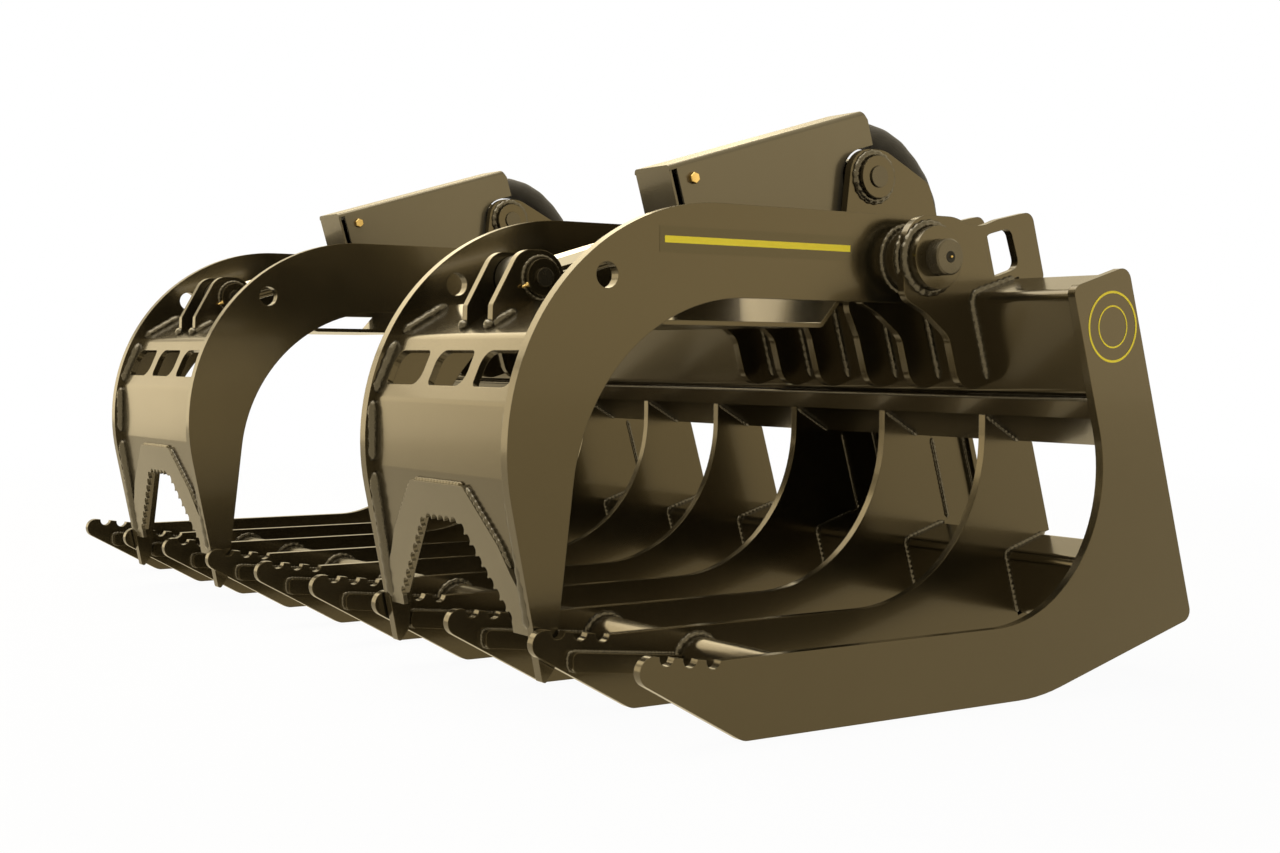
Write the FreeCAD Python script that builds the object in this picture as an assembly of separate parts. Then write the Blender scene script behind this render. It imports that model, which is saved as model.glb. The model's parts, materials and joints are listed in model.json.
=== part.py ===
"""Root grapple: ten tine plates on two tubes, two swinging arms and their cylinders."""
import FreeCAD, Part
import math
import os

Vector = FreeCAD.Vector

# Every length is in millimetres. X runs across the grapple, Y to the rear and Z up.
# Section points are (y, z) with y = 0 at the tine noses and z = 0 on the ground.

# plates and their spacing
PLATE = 12.7
ARM_PLATE = 15.9
INNER_TINES = 8
TINE_PITCH = 215.9
END_BAY = 231.8
PANEL = 9.5
SHEET = 4.0

# fits
RUNNING_FIT = 0.06
WELD_GAP = 0.3
SIDE_PLAY = 0.6

# tine profile
NOSE_RADIUS = 18.0
NOSE_APEX = (-93.6, 124.1)
HEEL = (128.4, 0.0)
HEEL_RADIUS = 25.0
FLAT_END = (626.5, 0.0)
FLAT_END_RADIUS = 307.0
BACK_HEEL = (934.2, 82.6)
THROAT_FLOOR = 98.0
THROAT_START = 93.0
INNER_THROAT_CENTRE = (516.0, 338.0)
END_THROAT_RADIUS = 199.4
NOTCH_RADIUS = 10.5
NOTCH_PITCH = 33.0
FIRST_NOTCH = 18.0

# leaning back of the frame: b is measured square to it, d down along it
LEAN = math.radians(16.5)
TUBE_CORNER = (691.0, 540.0)
END_BACK = 103.3
END_FRONT = -11.0
END_ABOVE_TUBE = 8.0
INNER_BACK = 94.8

# tubes
TUBE_DEPTH = 101.6
TUBE_HEIGHT = 152.4
TUBE_WALL = 6.35
TUBE_ROUND = 14.0
LOWER_B = -2.6
LOWER_D = 392.5
LOWER_DEPTH = 88.9
LOWER_HEIGHT = 101.6
PIPE_RADIUS = 31.75
PIPE_CENTRE = (231.0, 53.0)
LIP_BEND = (754.0, 367.0)
LIP_END = (824.0, 327.0)

# side bars along the tine toes
BAR_START = 32.0
BAR_HEIGHT = 25.4
BAR_TOP = 82.0
BAR_FALL = 18.0

# quick attach frame
MOUNT_DEPTH = 66.7
MOUNT_INNER = 318.0
MOUNT_OUTER = 559.0
MOUNT_TOP = 20.0
MOUNT_FOOT = 490.0
HOOK_LENGTH = 48.0
HOOK_ROUND = 4.0
FOOT_LENGTH = 82.0
FOOT_DROP = LEAN
SLOT_EDGE = 51.0
SLOT_LONG = 75.0
SLOT_WIDE = 32.0
GUSSET_TOP = 56.0

# pivots
HINGE = (609.0, 589.0)
CYLINDER_REAR = (675.0, 721.0)
LUG_PIN = (101.0, 553.0)
OPENING = math.radians(55.0)
BARREL_RATIO = 0.900
ROD_RATIO = 132.2

# hinges
HINGE_PIN_RADIUS = 25.4
HINGE_PIN_HALF = 98.0
EAR_OFFSET = 49.0
COLLAR_RADIUS = 44.45
COLLAR_IN = 12.0
COLLAR_OUT = 20.0
HINGE_BOSS_RADIUS = 44.45
HINGE_BOSS_STEP = 7.0
EAR_NOSE = 47.0
EAR_RISE = 60.0
FINGER_DEPTH = 57.0
FINGER_END = 133.0
CYLINDER_EAR_OFFSET = 55.0
CYLINDER_PIN_RADIUS = 15.9
CYLINDER_BOSS_RADIUS = 31.75
CYLINDER_BOSS_OUT = 12.0

# arms
ARM_CENTRE = 2.5 * TINE_PITCH
ARM_HALF = 196.4
ARM_TOP = 651.0
ARM_BOTTOM = 527.0
ARM_OUTER_RADIUS = 323.0
ARM_INNER_RADIUS = 271.0
ACCESS_HOLE = (100.0, 551.0)
ACCESS_RADIUS = 16.7
PANEL_BRIDGE = 25.0
PANEL_MARGIN = 17.95
PANEL_SLOT_HEIGHT = 51.0
TOOTH_PLATE = 6.35
TOOTH_PITCH = 17.2
TOOTH_RADIUS = 7.6
LUG_OFFSET = 34.4
LUG_NOSE = 37.0
LUG_PIN_RADIUS = 12.7
LUG_BOSS_RADIUS = 25.4
LUG_BOSS_OUT = 10.0

# cylinders, measured along the axis from the rear pin
BARREL_RADIUS = 36.5
BORE_RADIUS = 31.75
ROD_RADIUS = 19.0
EYE_WIDTH = 50.8
EYE_CLEARANCE = 1.5
EYE_RADIUS = 32.0
ROD_EYE_SLACK = 9.8
BARREL_END = 382.0
BORE_START = 62.0
BRACKET_HALF = 13.0
BRACKET_TOP = 89.0
BRACKET_THICK = 6.0
PORT_HALF = 23.0
PORT_LENGTH = 34.0
GLAND_DEPTH = 34.0
GLAND_FLANGE = 16.0
GLAND_STEP = 3.0
PISTON_WIDTH = 28.0
PISTON_CENTRE = 325.0
PISTON_SPIGOT = 15.0

# cylinder guard, above the cylinder axis
GUARD_HALF = 43.5
GUARD_TOP = 99.0
GUARD_LOW = -38.0
GUARD_REAR = -28.0
GUARD_SIDE_FRONT = 341.0
GUARD_FRONT = 353.0
GUARD_CUT_RADIUS = 45.2
GUARD_BOLT = (316.6, 71.8)
BOLT_RADIUS = 6.0
BOLT_HEAD_RADIUS = 9.5
BOLT_HEAD = 7.0

# sleeved hoses
HOSE_RADIUS = 21.0
HOSE_LIFT = 66.0
HOSE_START = 100.0
HOSE_BEND = -78.0
HOSE_RUN = 160.6
HOSE_TUCK = math.radians(10.0)
HOSE_END = 536.5
CLAMP_ABOVE_END = 10.5
CLAMP_EDGE = 10.0
CLAMP_NOSE = 9.0
CLAMP_THICK = 12.0


def add(a, b, scale=1.0):
    """Return the plane point a + scale * b."""
    return (a[0] + scale * b[0], a[1] + scale * b[1])


BACK = (math.cos(LEAN), math.sin(LEAN))
DOWN = (math.sin(LEAN), -math.cos(LEAN))


def lean(b, d):
    """Return the section point b behind and d below the front top corner of the main tube."""
    return add(add(TUBE_CORNER, BACK, b), DOWN, d)


def meet(a, u, b, v):
    """Return the point where the line through a along u meets the line through b along v."""
    cross = u[0] * v[1] - u[1] * v[0]
    t = ((b[0] - a[0]) * v[1] - (b[1] - a[1]) * v[0]) / cross
    return add(a, u, t)


def corner(points, i):
    """Return start, middle and end of the rounding of corner i of a closed outline."""
    here = Vector(points[i][0], points[i][1], 0)
    radius = points[i][2] if len(points[i]) > 2 else 0.0
    if radius <= 0:
        return here, here, here
    before = points[i - 1]
    after = points[(i + 1) % len(points)]
    a = (Vector(before[0], before[1], 0) - here).normalize()
    b = (Vector(after[0], after[1], 0) - here).normalize()
    half = a.getAngle(b) / 2
    cut = radius / math.tan(half)
    middle = here + (a + b).normalize() * (radius / math.sin(half) - radius)
    return here + a * cut, middle, here + b * cut


def slab(points, origin, along, across, thick):
    """Return an outline of (a, b, corner radius) points raised to a plate about its plane."""
    normal = along.cross(across).normalize()
    base = origin - normal * (thick / 2)

    def place(p):
        return base + along * p.x + across * p.y

    rounds = [corner(points, i) for i in range(len(points))]
    edges = []
    for i, (start, middle, end) in enumerate(rounds):
        if start.distanceToPoint(end) > 1e-6:
            edges.append(Part.Arc(place(start), place(middle), place(end)).toShape())
        following = rounds[(i + 1) % len(rounds)][0]
        if end.distanceToPoint(following) > 1e-4:
            edges.append(Part.LineSegment(place(end), place(following)).toShape())
    face = Part.Face(Part.Wire(edges))
    return face.extrude(normal * thick)


def plate(points, x, thick=PLATE):
    """Return a plate standing across X with the given (y, z, radius) outline."""
    return slab(points, Vector(x, 0, 0), Vector(0, 1, 0), Vector(0, 0, 1), thick)


def strip(points, thick):
    """Return the outline of a bent strip: the given path and its offset to the left."""
    offset = []
    for i, point in enumerate(points):
        before = points[max(i - 1, 0)]
        after = points[min(i + 1, len(points) - 1)]
        u = Vector(point[0] - before[0], point[1] - before[1], 0)
        v = Vector(after[0] - point[0], after[1] - point[1], 0)
        u = v if i == 0 else u
        v = u if i == len(points) - 1 else v
        u.normalize()
        v.normalize()
        m = Vector(-u.y, u.x, 0)
        n = Vector(-v.y, v.x, 0)
        shift = (m + n) * (thick / (1 + m.dot(n)))
        radius = point[2] if len(point) > 2 else 0.0
        turn = u.x * v.y - u.y * v.x
        radius = radius + (thick if turn < 0 else -thick) if radius > 0 else 0.0
        offset.append((point[0] + shift.x, point[1] + shift.y, max(radius, 0.0)))
    return list(points) + offset[::-1]


def bar(x, point, radius, half):
    """Return a round bar along X, centred at x in the section point."""
    return Part.makeCylinder(radius, 2 * half, Vector(x - half, point[0], point[1]), Vector(1, 0, 0))


def ring(x0, x1, point, outer, inner):
    """Return a collar along X from x0 to x1."""
    body = bar((x0 + x1) / 2, point, outer, abs(x1 - x0) / 2)
    return body.cut(bar((x0 + x1) / 2, point, inner, abs(x1 - x0) / 2 + 1))


def leaning_box(b0, b1, d0, d1, half, rounding=0.0):
    """Return a box along X with its section square to the leaning back."""
    points = [(*lean(b, d), rounding) for b, d in ((b0, d0), (b0, d1), (b1, d1), (b1, d0))]
    return plate(points, 0.0, 2 * half)


def moved(shape, x):
    """Return a copy of the shape shifted along X."""
    return shape.translated(Vector(x, 0, 0))


# outlines of the frame


def tine_outline(end):
    """Return the outline of an end plate or of an inner tine."""
    back = END_BACK if end else INNER_BACK
    slope = math.atan2(BACK_HEEL[1], BACK_HEEL[0] - FLAT_END[0])
    under = (math.cos(slope), math.sin(slope))
    heel = meet(BACK_HEEL, under, lean(back, 0), DOWN)
    points = [(*NOSE_APEX, NOSE_RADIUS), (*HEEL, HEEL_RADIUS), (*FLAT_END, FLAT_END_RADIUS), (*heel, 15.0)]
    floor = (0.0, THROAT_FLOOR)
    if end:
        points.append((*lean(END_BACK, -END_ABOVE_TUBE), 18.0))
        points.append((*lean(END_FRONT, -END_ABOVE_TUBE), 14.0))
        throat = meet(floor, (1.0, 0.0), lean(END_FRONT, 0), DOWN)
        points.append((*throat, END_THROAT_RADIUS))
    else:
        points.append((*meet(LIP_END, (1.0, 0.0), lean(back, 0), DOWN), 6.0))
        points.append(LIP_END)
        points.append(LIP_BEND)
        radius = LIP_BEND[0] - INNER_THROAT_CENTRE[0]
        points.append((LIP_BEND[0], THROAT_FLOOR, radius))
    points.append((THROAT_START, THROAT_FLOOR, 6.0))
    return points


def ear_foot():
    """Return the outline points where an ear wraps over the main tube, back to front."""
    points = [lean(TUBE_DEPTH, 18.0), lean(TUBE_DEPTH, 0.0), lean(0.0, 0.0), lean(0.0, FINGER_END)]
    points.append((*lean(-FINGER_DEPTH, FINGER_END), 34.0))
    points.append((*lean(-FINGER_DEPTH, 46.0), 30.0))
    return points


def hinge_ear():
    """Return the outline of an ear that carries an arm hinge."""
    y, z = HINGE
    points = [(y - EAR_NOSE, z + EAR_RISE, EAR_NOSE - 0.01), (660.0, z + EAR_RISE, 70.0)]
    points += [(699.0, 633.0, 80.0), (745.0, 650.0, 60.0), (814.0, 665.0, 16.0), (843.0, 565.0, 10.0)]
    points += ear_foot()
    points += [(605.0, 512.0, 50.0), (y - EAR_NOSE, 532.0, 24.0)]
    return points


def cylinder_ear():
    """Return the outline of an ear that carries a cylinder."""
    y, z = CYLINDER_REAR
    points = [(634.0, z + 42.0, 40.0), (698.0, z + 42.0, 50.0), (790.0, 718.0, 28.0), (843.0, 565.0, 10.0)]
    points += ear_foot()
    points += [(629.0, 520.0, 40.0), (619.0, 640.0, 60.0)]
    return points


def ear_window():
    """Return the outline of the window in a hinge ear."""
    return [(716.0, 625.0, 14.0), (770.0, 639.0, 14.0), (790.0, 582.0, 14.0), (731.0, 564.0, 14.0)]


# frame pieces


def tine_positions():
    """Return the X of the eight inner tines."""
    return [(i - (INNER_TINES - 1) / 2) * TINE_PITCH for i in range(INNER_TINES)]


END_X = 3.5 * TINE_PITCH + END_BAY


def make_tine(x, end):
    """Return one tine or end plate with its toe notches; a tine also has its pipe hole."""
    shape = plate(tine_outline(end), x)
    slope = (NOSE_APEX[1] - THROAT_FLOOR) / (NOSE_APEX[0] - THROAT_START)
    for i in range(3):
        y = FIRST_NOTCH + i * NOTCH_PITCH
        z = THROAT_FLOOR + slope * (y - THROAT_START)
        shape = shape.cut(bar(x, (y, z), NOTCH_RADIUS, PLATE))
    if not end:
        shape = shape.cut(bar(x, PIPE_CENTRE, PIPE_RADIUS + WELD_GAP, PLATE))
        notch = leaning_box(LOWER_B, LOWER_B + LOWER_DEPTH + 60, LOWER_D, LOWER_D + LOWER_HEIGHT, PLATE)
        shape = shape.cut(moved(notch, x))
    return shape


def make_side_bars():
    """Return the toe bars on both faces of the inner tines and inside the end plates."""
    stop = PIPE_CENTRE[0] - PIPE_RADIUS - WELD_GAP
    fall = BAR_FALL
    shape = [(BAR_START, BAR_TOP, 8.0), (BAR_START, BAR_TOP - BAR_HEIGHT, 8.0)]
    shape += [(stop, BAR_TOP - BAR_HEIGHT - fall), (stop, BAR_TOP - fall)]
    places = [x + side * PLATE for x in tine_positions() for side in (-1, 1)]
    places += [END_X - PLATE, PLATE - END_X]
    return Part.makeCompound([plate(shape, x) for x in sorted(places)])


def make_tube(b, d, depth, height):
    """Return a hollow rectangular tube between the end plates."""
    half = END_X - PLATE / 2
    outer = leaning_box(b, b + depth, d, d + height, half, TUBE_ROUND)
    w = TUBE_WALL
    inner = leaning_box(b + w, b + depth - w, d + w, d + height - w, half + 1, TUBE_ROUND - w)
    return outer.cut(inner)


def make_pipe():
    """Return the cross pipe, which ends against the inner faces of the end plates."""
    half = END_X - PLATE / 2
    return bar(0, PIPE_CENTRE, PIPE_RADIUS, half).cut(bar(0, PIPE_CENTRE, PIPE_RADIUS - TUBE_WALL, half + 1))


def make_lip():
    """Return the bent strip between the main tube and the tines."""
    path = [lean(0, TUBE_HEIGHT), LIP_BEND, LIP_END]
    half = END_X - PLATE / 2
    shape = plate(strip(path, PANEL), 0.0, 2 * half)
    g = WELD_GAP
    return shape.cut(leaning_box(-g, TUBE_DEPTH, 0, TUBE_HEIGHT + g, half + 1, TUBE_ROUND + g))


def make_gusset(x):
    """Return the upright plate between a tine and its mount plate."""
    back = INNER_BACK + MOUNT_DEPTH
    low = LOWER_B + LOWER_DEPTH
    ends = [(back, GUSSET_TOP), (TUBE_DEPTH, GUSSET_TOP), (TUBE_DEPTH, 210.0), (INNER_BACK, 252.0)]
    ends += [(INNER_BACK, LOWER_D), (low, LOWER_D), (low, MOUNT_FOOT), (back, MOUNT_FOOT)]
    return plate([lean(b, d) for b, d in ends], x)


def make_mount(side):
    """Return one quick attach plate with its top hook and slotted foot."""
    front = INNER_BACK + MOUNT_DEPTH
    s = math.sin(math.radians(45))
    hook = (front + HOOK_LENGTH * s, MOUNT_TOP + HOOK_LENGTH * s)
    foot = (front + FOOT_LENGTH * math.cos(FOOT_DROP), MOUNT_FOOT + FOOT_LENGTH * math.sin(FOOT_DROP))
    path = [lean(*foot), (*lean(front, MOUNT_FOOT), 16.0), lean(front, MOUNT_TOP), lean(*hook)]
    outline = strip(path[::-1], PANEL)
    outline[-2] = (*outline[-2][:2], HOOK_ROUND)
    x = side * (MOUNT_INNER + MOUNT_OUTER) / 2
    shape = plate(outline, x, MOUNT_OUTER - MOUNT_INNER)
    middle = lean((front + foot[0]) / 2 + 6, (MOUNT_FOOT + foot[1]) / 2 + 2)
    w, h = SLOT_LONG / 2, SLOT_WIDE / 2
    ends = [(-w, -h, h - 0.01), (w, -h, h - 0.01), (w, h, h - 0.01), (-w, h, h - 0.01)]
    slot = slab(ends, Vector(side * (MOUNT_OUTER - SLOT_EDGE), *middle), Vector(1, 0, 0), Vector(0, 1, 0), 80)
    return shape.cut(slot)


def make_hinge_ears(x):
    """Return the two ears either side of an arm plate at x, with their collars."""
    ears = []
    for side in (-1, 1):
        ear = plate(hinge_ear(), x + side * EAR_OFFSET)
        ear = ear.cut(plate(ear_window(), x + side * EAR_OFFSET, 2 * PLATE))
        inner = x + side * (EAR_OFFSET - PLATE / 2 - COLLAR_IN)
        outer = x + side * (EAR_OFFSET + PLATE / 2 + COLLAR_OUT)
        ear = ear.fuse(bar((inner + outer) / 2, HINGE, COLLAR_RADIUS, abs(outer - inner) / 2))
        ears.append(ear.cut(bar(x, HINGE, HINGE_PIN_RADIUS + RUNNING_FIT, 120)))
    return Part.makeCompound(ears)


def make_cylinder_ears(x):
    """Return the two ears that carry a cylinder at x, with their bosses."""
    ears = []
    for side in (-1, 1):
        ear = plate(cylinder_ear(), x + side * CYLINDER_EAR_OFFSET)
        inner = x + side * (EYE_WIDTH / 2 + SIDE_PLAY)
        outer = x + side * (CYLINDER_EAR_OFFSET + PLATE / 2 + CYLINDER_BOSS_OUT)
        boss = bar((inner + outer) / 2, CYLINDER_REAR, CYLINDER_BOSS_RADIUS, abs(outer - inner) / 2)
        ears.append(ear.fuse(boss).cut(bar(x, CYLINDER_REAR, CYLINDER_PIN_RADIUS + RUNNING_FIT, 120)))
    return Part.makeCompound(ears)


def make_hinge_pins(x):
    """Return the two hinge pins of the arm at x."""
    pins = [bar(x + side * ARM_HALF, HINGE, HINGE_PIN_RADIUS, HINGE_PIN_HALF) for side in (-1, 1)]
    return Part.makeCompound([pin.makeChamfer(2.0, pin.Edges[0:3:2]) for pin in pins])


# arm pieces, about X = 0


def front_slope():
    """Return the direction of the straight front of an arm, running down."""
    length = math.hypot(50.7, 246.0)
    return (50.7 / length, -246.0 / length)


def arm_outline():
    """Return the outline of an arm side plate."""
    y, z = HINGE
    end = ARM_TOP - z
    top = meet((0.0, ARM_TOP), (1.0, 0.0), (8.0, 36.0), front_slope())
    inner = meet((0.0, ARM_BOTTOM), (1.0, 0.0), (24.0, 62.0), (19.9, 168.0))
    points = [(*top, ARM_OUTER_RADIUS), (8.0, 36.0, 4.0), (23.5, 57.0, 5.0), (*inner, ARM_INNER_RADIUS)]
    points += [(y + end, ARM_BOTTOM, end - 0.01), (y + end, ARM_TOP, end - 0.01)]
    return points


def make_arm_plate(x):
    """Return an arm side plate with its hinge hole and the access hole over the lug pin."""
    shape = plate(arm_outline(), x, ARM_PLATE)
    shape = shape.cut(bar(x, HINGE, HINGE_BOSS_RADIUS - HINGE_BOSS_STEP, ARM_PLATE))
    return shape.cut(bar(x, ACCESS_HOLE, ACCESS_RADIUS, ARM_PLATE))


def make_hinge_bosses():
    """Return the two bosses that turn on the hinge pins, stepped into the arm plates."""
    half = EAR_OFFSET - PLATE / 2 - COLLAR_IN - SIDE_PLAY * 2
    edge = ARM_PLATE / 2
    neck = HINGE_BOSS_RADIUS - HINGE_BOSS_STEP - WELD_GAP
    bosses = []
    for side in (-1, 1):
        x = side * ARM_HALF
        hub = bar(x, HINGE, HINGE_BOSS_RADIUS, half)
        groove = ring(x - edge, x + edge, HINGE, HINGE_BOSS_RADIUS + 1, neck)
        hub = hub.cut(groove).cut(bar(x, HINGE, HINGE_PIN_RADIUS + RUNNING_FIT, half + 1))
        bosses.append(hub)
    return Part.makeCompound(bosses)


PANEL_TOP = (88.0, 521.0)
PANEL_CHEEK = (7.0, 475.0)
PANEL_BROW = (-31.0, 388.0)
PANEL_CHIN = (-31.0, 292.0)
PANEL_END = (3.0, 100.0)
CUT_DEPTH = 60.0

# the arch, as (x, distance down the chin facet), and how far the teeth stand over it
ARCH_FOOT = (150.0, 182.0)
ARCH_TOP = (47.0, 62.0)
ARCH_MARGIN = 9.5
SIDE_TEETH = 9
TOP_TEETH = 5


def facet(a, b):
    """Return the middle of a facet, its downward direction and its outward normal."""
    length = math.hypot(b[0] - a[0], b[1] - a[1])
    u = Vector(0, (b[0] - a[0]) / length, (b[1] - a[1]) / length)
    out = u.cross(Vector(1, 0, 0))
    return Vector(0, a[0], a[1]), u, out, length


def arch():
    """Return half the points of the arch, as (x, distance down the chin facet)."""
    x, s = ARCH_FOOT
    margin = ARCH_MARGIN
    return [(x + margin, s + 28.0), (x + margin, s), (ARCH_TOP[0] + margin * 0.6, ARCH_TOP[1] - margin)]


def chin_slab(half_points, thick, lift):
    """Return a plate on the chin facet with an outline mirrored about the arm centre."""
    origin, down, out, _ = facet(PANEL_CHIN, PANEL_END)
    mirror = [(-p[0], *p[1:]) for p in half_points[::-1]]
    return slab(half_points + mirror, origin + out * lift, Vector(1, 0, 0), down, thick)


def make_front_panel():
    """Return the bent front panel with its three slots, arch and eye relief."""
    half = ARM_HALF - ARM_PLATE / 2
    bends = [(*PANEL_CHEEK, 16.0), (*PANEL_BROW, 16.0), (*PANEL_CHIN, 30.0)]
    path = [PANEL_TOP] + bends + [PANEL_END]
    shape = plate(strip(path, PANEL), 0.0, 2 * half)
    shape = shape.cut(chin_slab(arch(), CUT_DEPTH, 0.0))
    origin, down, _, length = facet(PANEL_CHEEK, PANEL_BROW)
    width = (2 * (half - PANEL_MARGIN) - 2 * PANEL_BRIDGE) / 3
    w, h = width / 2, PANEL_SLOT_HEIGHT / 2
    for i in (-1, 0, 1):
        outline = [(-w, -h, 22.0), (w, -h, 8.0), (w, h, 22.0), (-w, h, 8.0)]
        centre = origin + down * (length / 2) + Vector(i * (width + PANEL_BRIDGE), 0, 0)
        shape = shape.cut(slab(outline, centre, Vector(1, 0, 0), down, CUT_DEPTH))
    relief = bar(0, LUG_PIN, EYE_RADIUS + ROD_EYE_SLACK + 1.0, EYE_WIDTH / 2 + 1.0)
    return shape.cut(relief)


def make_tooth_plate():
    """Return the plate over the arch with its row of scalloped teeth."""
    half = ARM_HALF - ARM_PLATE / 2
    origin, down, out, foot = facet(PANEL_CHIN, PANEL_END)
    outline = [(72.0, 11.0, 10.0), (143.0, 84.0, 12.0), (164.0, 118.0, 12.0), (half, 150.0)]
    outline += [(half, foot), (ARCH_FOOT[0], foot), ARCH_FOOT, ARCH_TOP]
    shape = chin_slab(outline, TOOTH_PLATE, TOOTH_PLATE / 2)
    wide = ARCH_FOOT[0] - ARCH_TOP[0]
    high = ARCH_FOOT[1] - ARCH_TOP[1]
    scallops = [((i - (TOP_TEETH - 1) / 2) * TOOTH_PITCH, ARCH_TOP[1]) for i in range(TOP_TEETH)]
    for i in range(SIDE_TEETH):
        f = (i + 0.5) / SIDE_TEETH
        scallops += [(side * (ARCH_TOP[0] + wide * f), ARCH_TOP[1] + high * f) for side in (-1, 1)]
    for x, s in scallops:
        centre = origin + down * s + Vector(x, 0, 0) - out
        shape = shape.cut(Part.makeCylinder(TOOTH_RADIUS, TOOTH_PLATE + 2, centre, out))
    return shape


def make_lugs():
    """Return the two lugs on the panel that hold the lug pin."""
    y, z = LUG_PIN
    n = LUG_NOSE
    foot = [(27.0, 486.36), (28.0, 515.0, 8.0)]
    end = facet(PANEL_TOP, PANEL_CHEEK)[2] * -PANEL * 0.55
    tail = (PANEL_TOP[0] + end.y, PANEL_TOP[1] + end.z)
    outline = foot + [(70.0, z + n, 30.0), (y + n, z + n, n - 0.01), (y + n, z - n, n - 4), tail, PANEL_TOP]
    lugs = []
    for side in (-1, 1):
        lug = plate(outline, side * LUG_OFFSET)
        outer = LUG_OFFSET + PLATE / 2
        lug = lug.fuse(bar(side * (outer + LUG_BOSS_OUT / 2 - 1), LUG_PIN, LUG_BOSS_RADIUS, LUG_BOSS_OUT / 2 + 1))
        lugs.append(lug.cut(bar(0, LUG_PIN, LUG_PIN_RADIUS + RUNNING_FIT, 80)))
    return Part.makeCompound(lugs)


def make_brace():
    """Return the bent brace between the side plates of an arm."""
    path = [(161.0, 528.0), (196.0, 490.0, 14.0), (468.0, 490.0, 14.0), (515.0, 541.0)]
    return plate(strip(path, TOOTH_PLATE), 0.0, 2 * (ARM_HALF - ARM_PLATE / 2))


# cylinder pieces, about X = 0; t runs along the axis from the rear pin and n above it

SPAN = math.hypot(LUG_PIN[0] - CYLINDER_REAR[0], LUG_PIN[1] - CYLINDER_REAR[1])
AXIS = ((LUG_PIN[0] - CYLINDER_REAR[0]) / SPAN, (LUG_PIN[1] - CYLINDER_REAR[1]) / SPAN)
ABOVE = (AXIS[1], -AXIS[0])
AXIS3 = Vector(0, *AXIS)
ABOVE3 = Vector(0, *ABOVE)


def axial(t, n=0.0):
    """Return the section point t along the cylinder axis and n above it."""
    return add(add(CYLINDER_REAR, AXIS, t), ABOVE, n)


def turned(t0, t1, radius):
    """Return a round length of the cylinder from t0 to t1."""
    return Part.makeCylinder(radius, t1 - t0, Vector(0, *axial(t0)), AXIS3)


def across(points, t0, t1):
    """Return an outline of (x, n, radius) points raised along the axis from t0 to t1."""
    return slab(points, Vector(0, *axial((t0 + t1) / 2)), Vector(1, 0, 0), ABOVE3, t1 - t0)


def make_barrel():
    """Return the barrel with its closed end, rear eye, port block and guard bracket."""
    body = turned(EYE_RADIUS - 12, BARREL_END, BARREL_RADIUS)
    body = body.fuse(bar(0, CYLINDER_REAR, EYE_RADIUS, EYE_WIDTH / 2))
    e = EYE_WIDTH / 2
    w = BARREL_RADIUS + 1
    shoulder = CYLINDER_BOSS_RADIUS + EYE_CLEARANCE
    for side in (-1, 1):
        cheek = across([(side * e, -w), (side * w, -w), (side * w, w), (side * e, w)], -w, shoulder)
        body = body.cut(cheek)
    t = GUARD_BOLT[0]
    o = GUARD_HALF - SHEET - 0.2
    i = o - BRACKET_THICK
    top = BRACKET_TOP
    under = top - BRACKET_THICK
    leg = [(o, 4), (o, top, 6.0), (-o, top, 6.0), (-o, 4), (-i, 4), (-i, under), (i, under), (i, 4)]
    body = body.fuse(across(leg, t - BRACKET_HALF, t + BRACKET_HALF))
    p = PORT_HALF
    port = [(-p, 20), (p, 20), (p, HOSE_LIFT + 22, 5.0), (-p, HOSE_LIFT + 22, 5.0)]
    body = body.fuse(across(port, HOSE_START, HOSE_START + PORT_LENGTH))
    body = body.cut(turned(BORE_START, BARREL_END + 1, BORE_RADIUS))
    body = body.cut(bar(0, CYLINDER_REAR, CYLINDER_PIN_RADIUS + RUNNING_FIT, EYE_WIDTH))
    return body.cut(bar(0, axial(*GUARD_BOLT), BOLT_RADIUS + RUNNING_FIT, 60))


def make_gland():
    """Return the gland that closes the barrel round the rod."""
    seat = turned(BARREL_END - GLAND_DEPTH, BARREL_END + 1, BORE_RADIUS - RUNNING_FIT)
    flange = turned(BARREL_END, BARREL_END + GLAND_FLANGE, BARREL_RADIUS - GLAND_STEP)
    bore = turned(BARREL_END - GLAND_DEPTH - 1, BARREL_END + GLAND_FLANGE + 1, ROD_RADIUS + RUNNING_FIT)
    return seat.fuse(flange).cut(bore)


def make_piston():
    """Return the piston on the spigot of the rod."""
    t = PISTON_CENTRE
    w = PISTON_WIDTH / 2
    body = turned(t - w, t + w, BORE_RADIUS - RUNNING_FIT)
    return body.cut(turned(t - w - 1, t + w + 1, PISTON_SPIGOT + RUNNING_FIT))


def make_rod():
    """Return the rod with its piston spigot and front eye."""
    t = PISTON_CENTRE
    w = PISTON_WIDTH / 2
    body = turned(t + w, SPAN - EYE_RADIUS + 8, ROD_RADIUS)
    body = body.fuse(turned(t - w, t + w, PISTON_SPIGOT))
    body = body.fuse(bar(0, LUG_PIN, EYE_RADIUS, EYE_WIDTH / 2))
    return body.cut(bar(0, LUG_PIN, LUG_PIN_RADIUS + ROD_EYE_SLACK, EYE_WIDTH))


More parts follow.
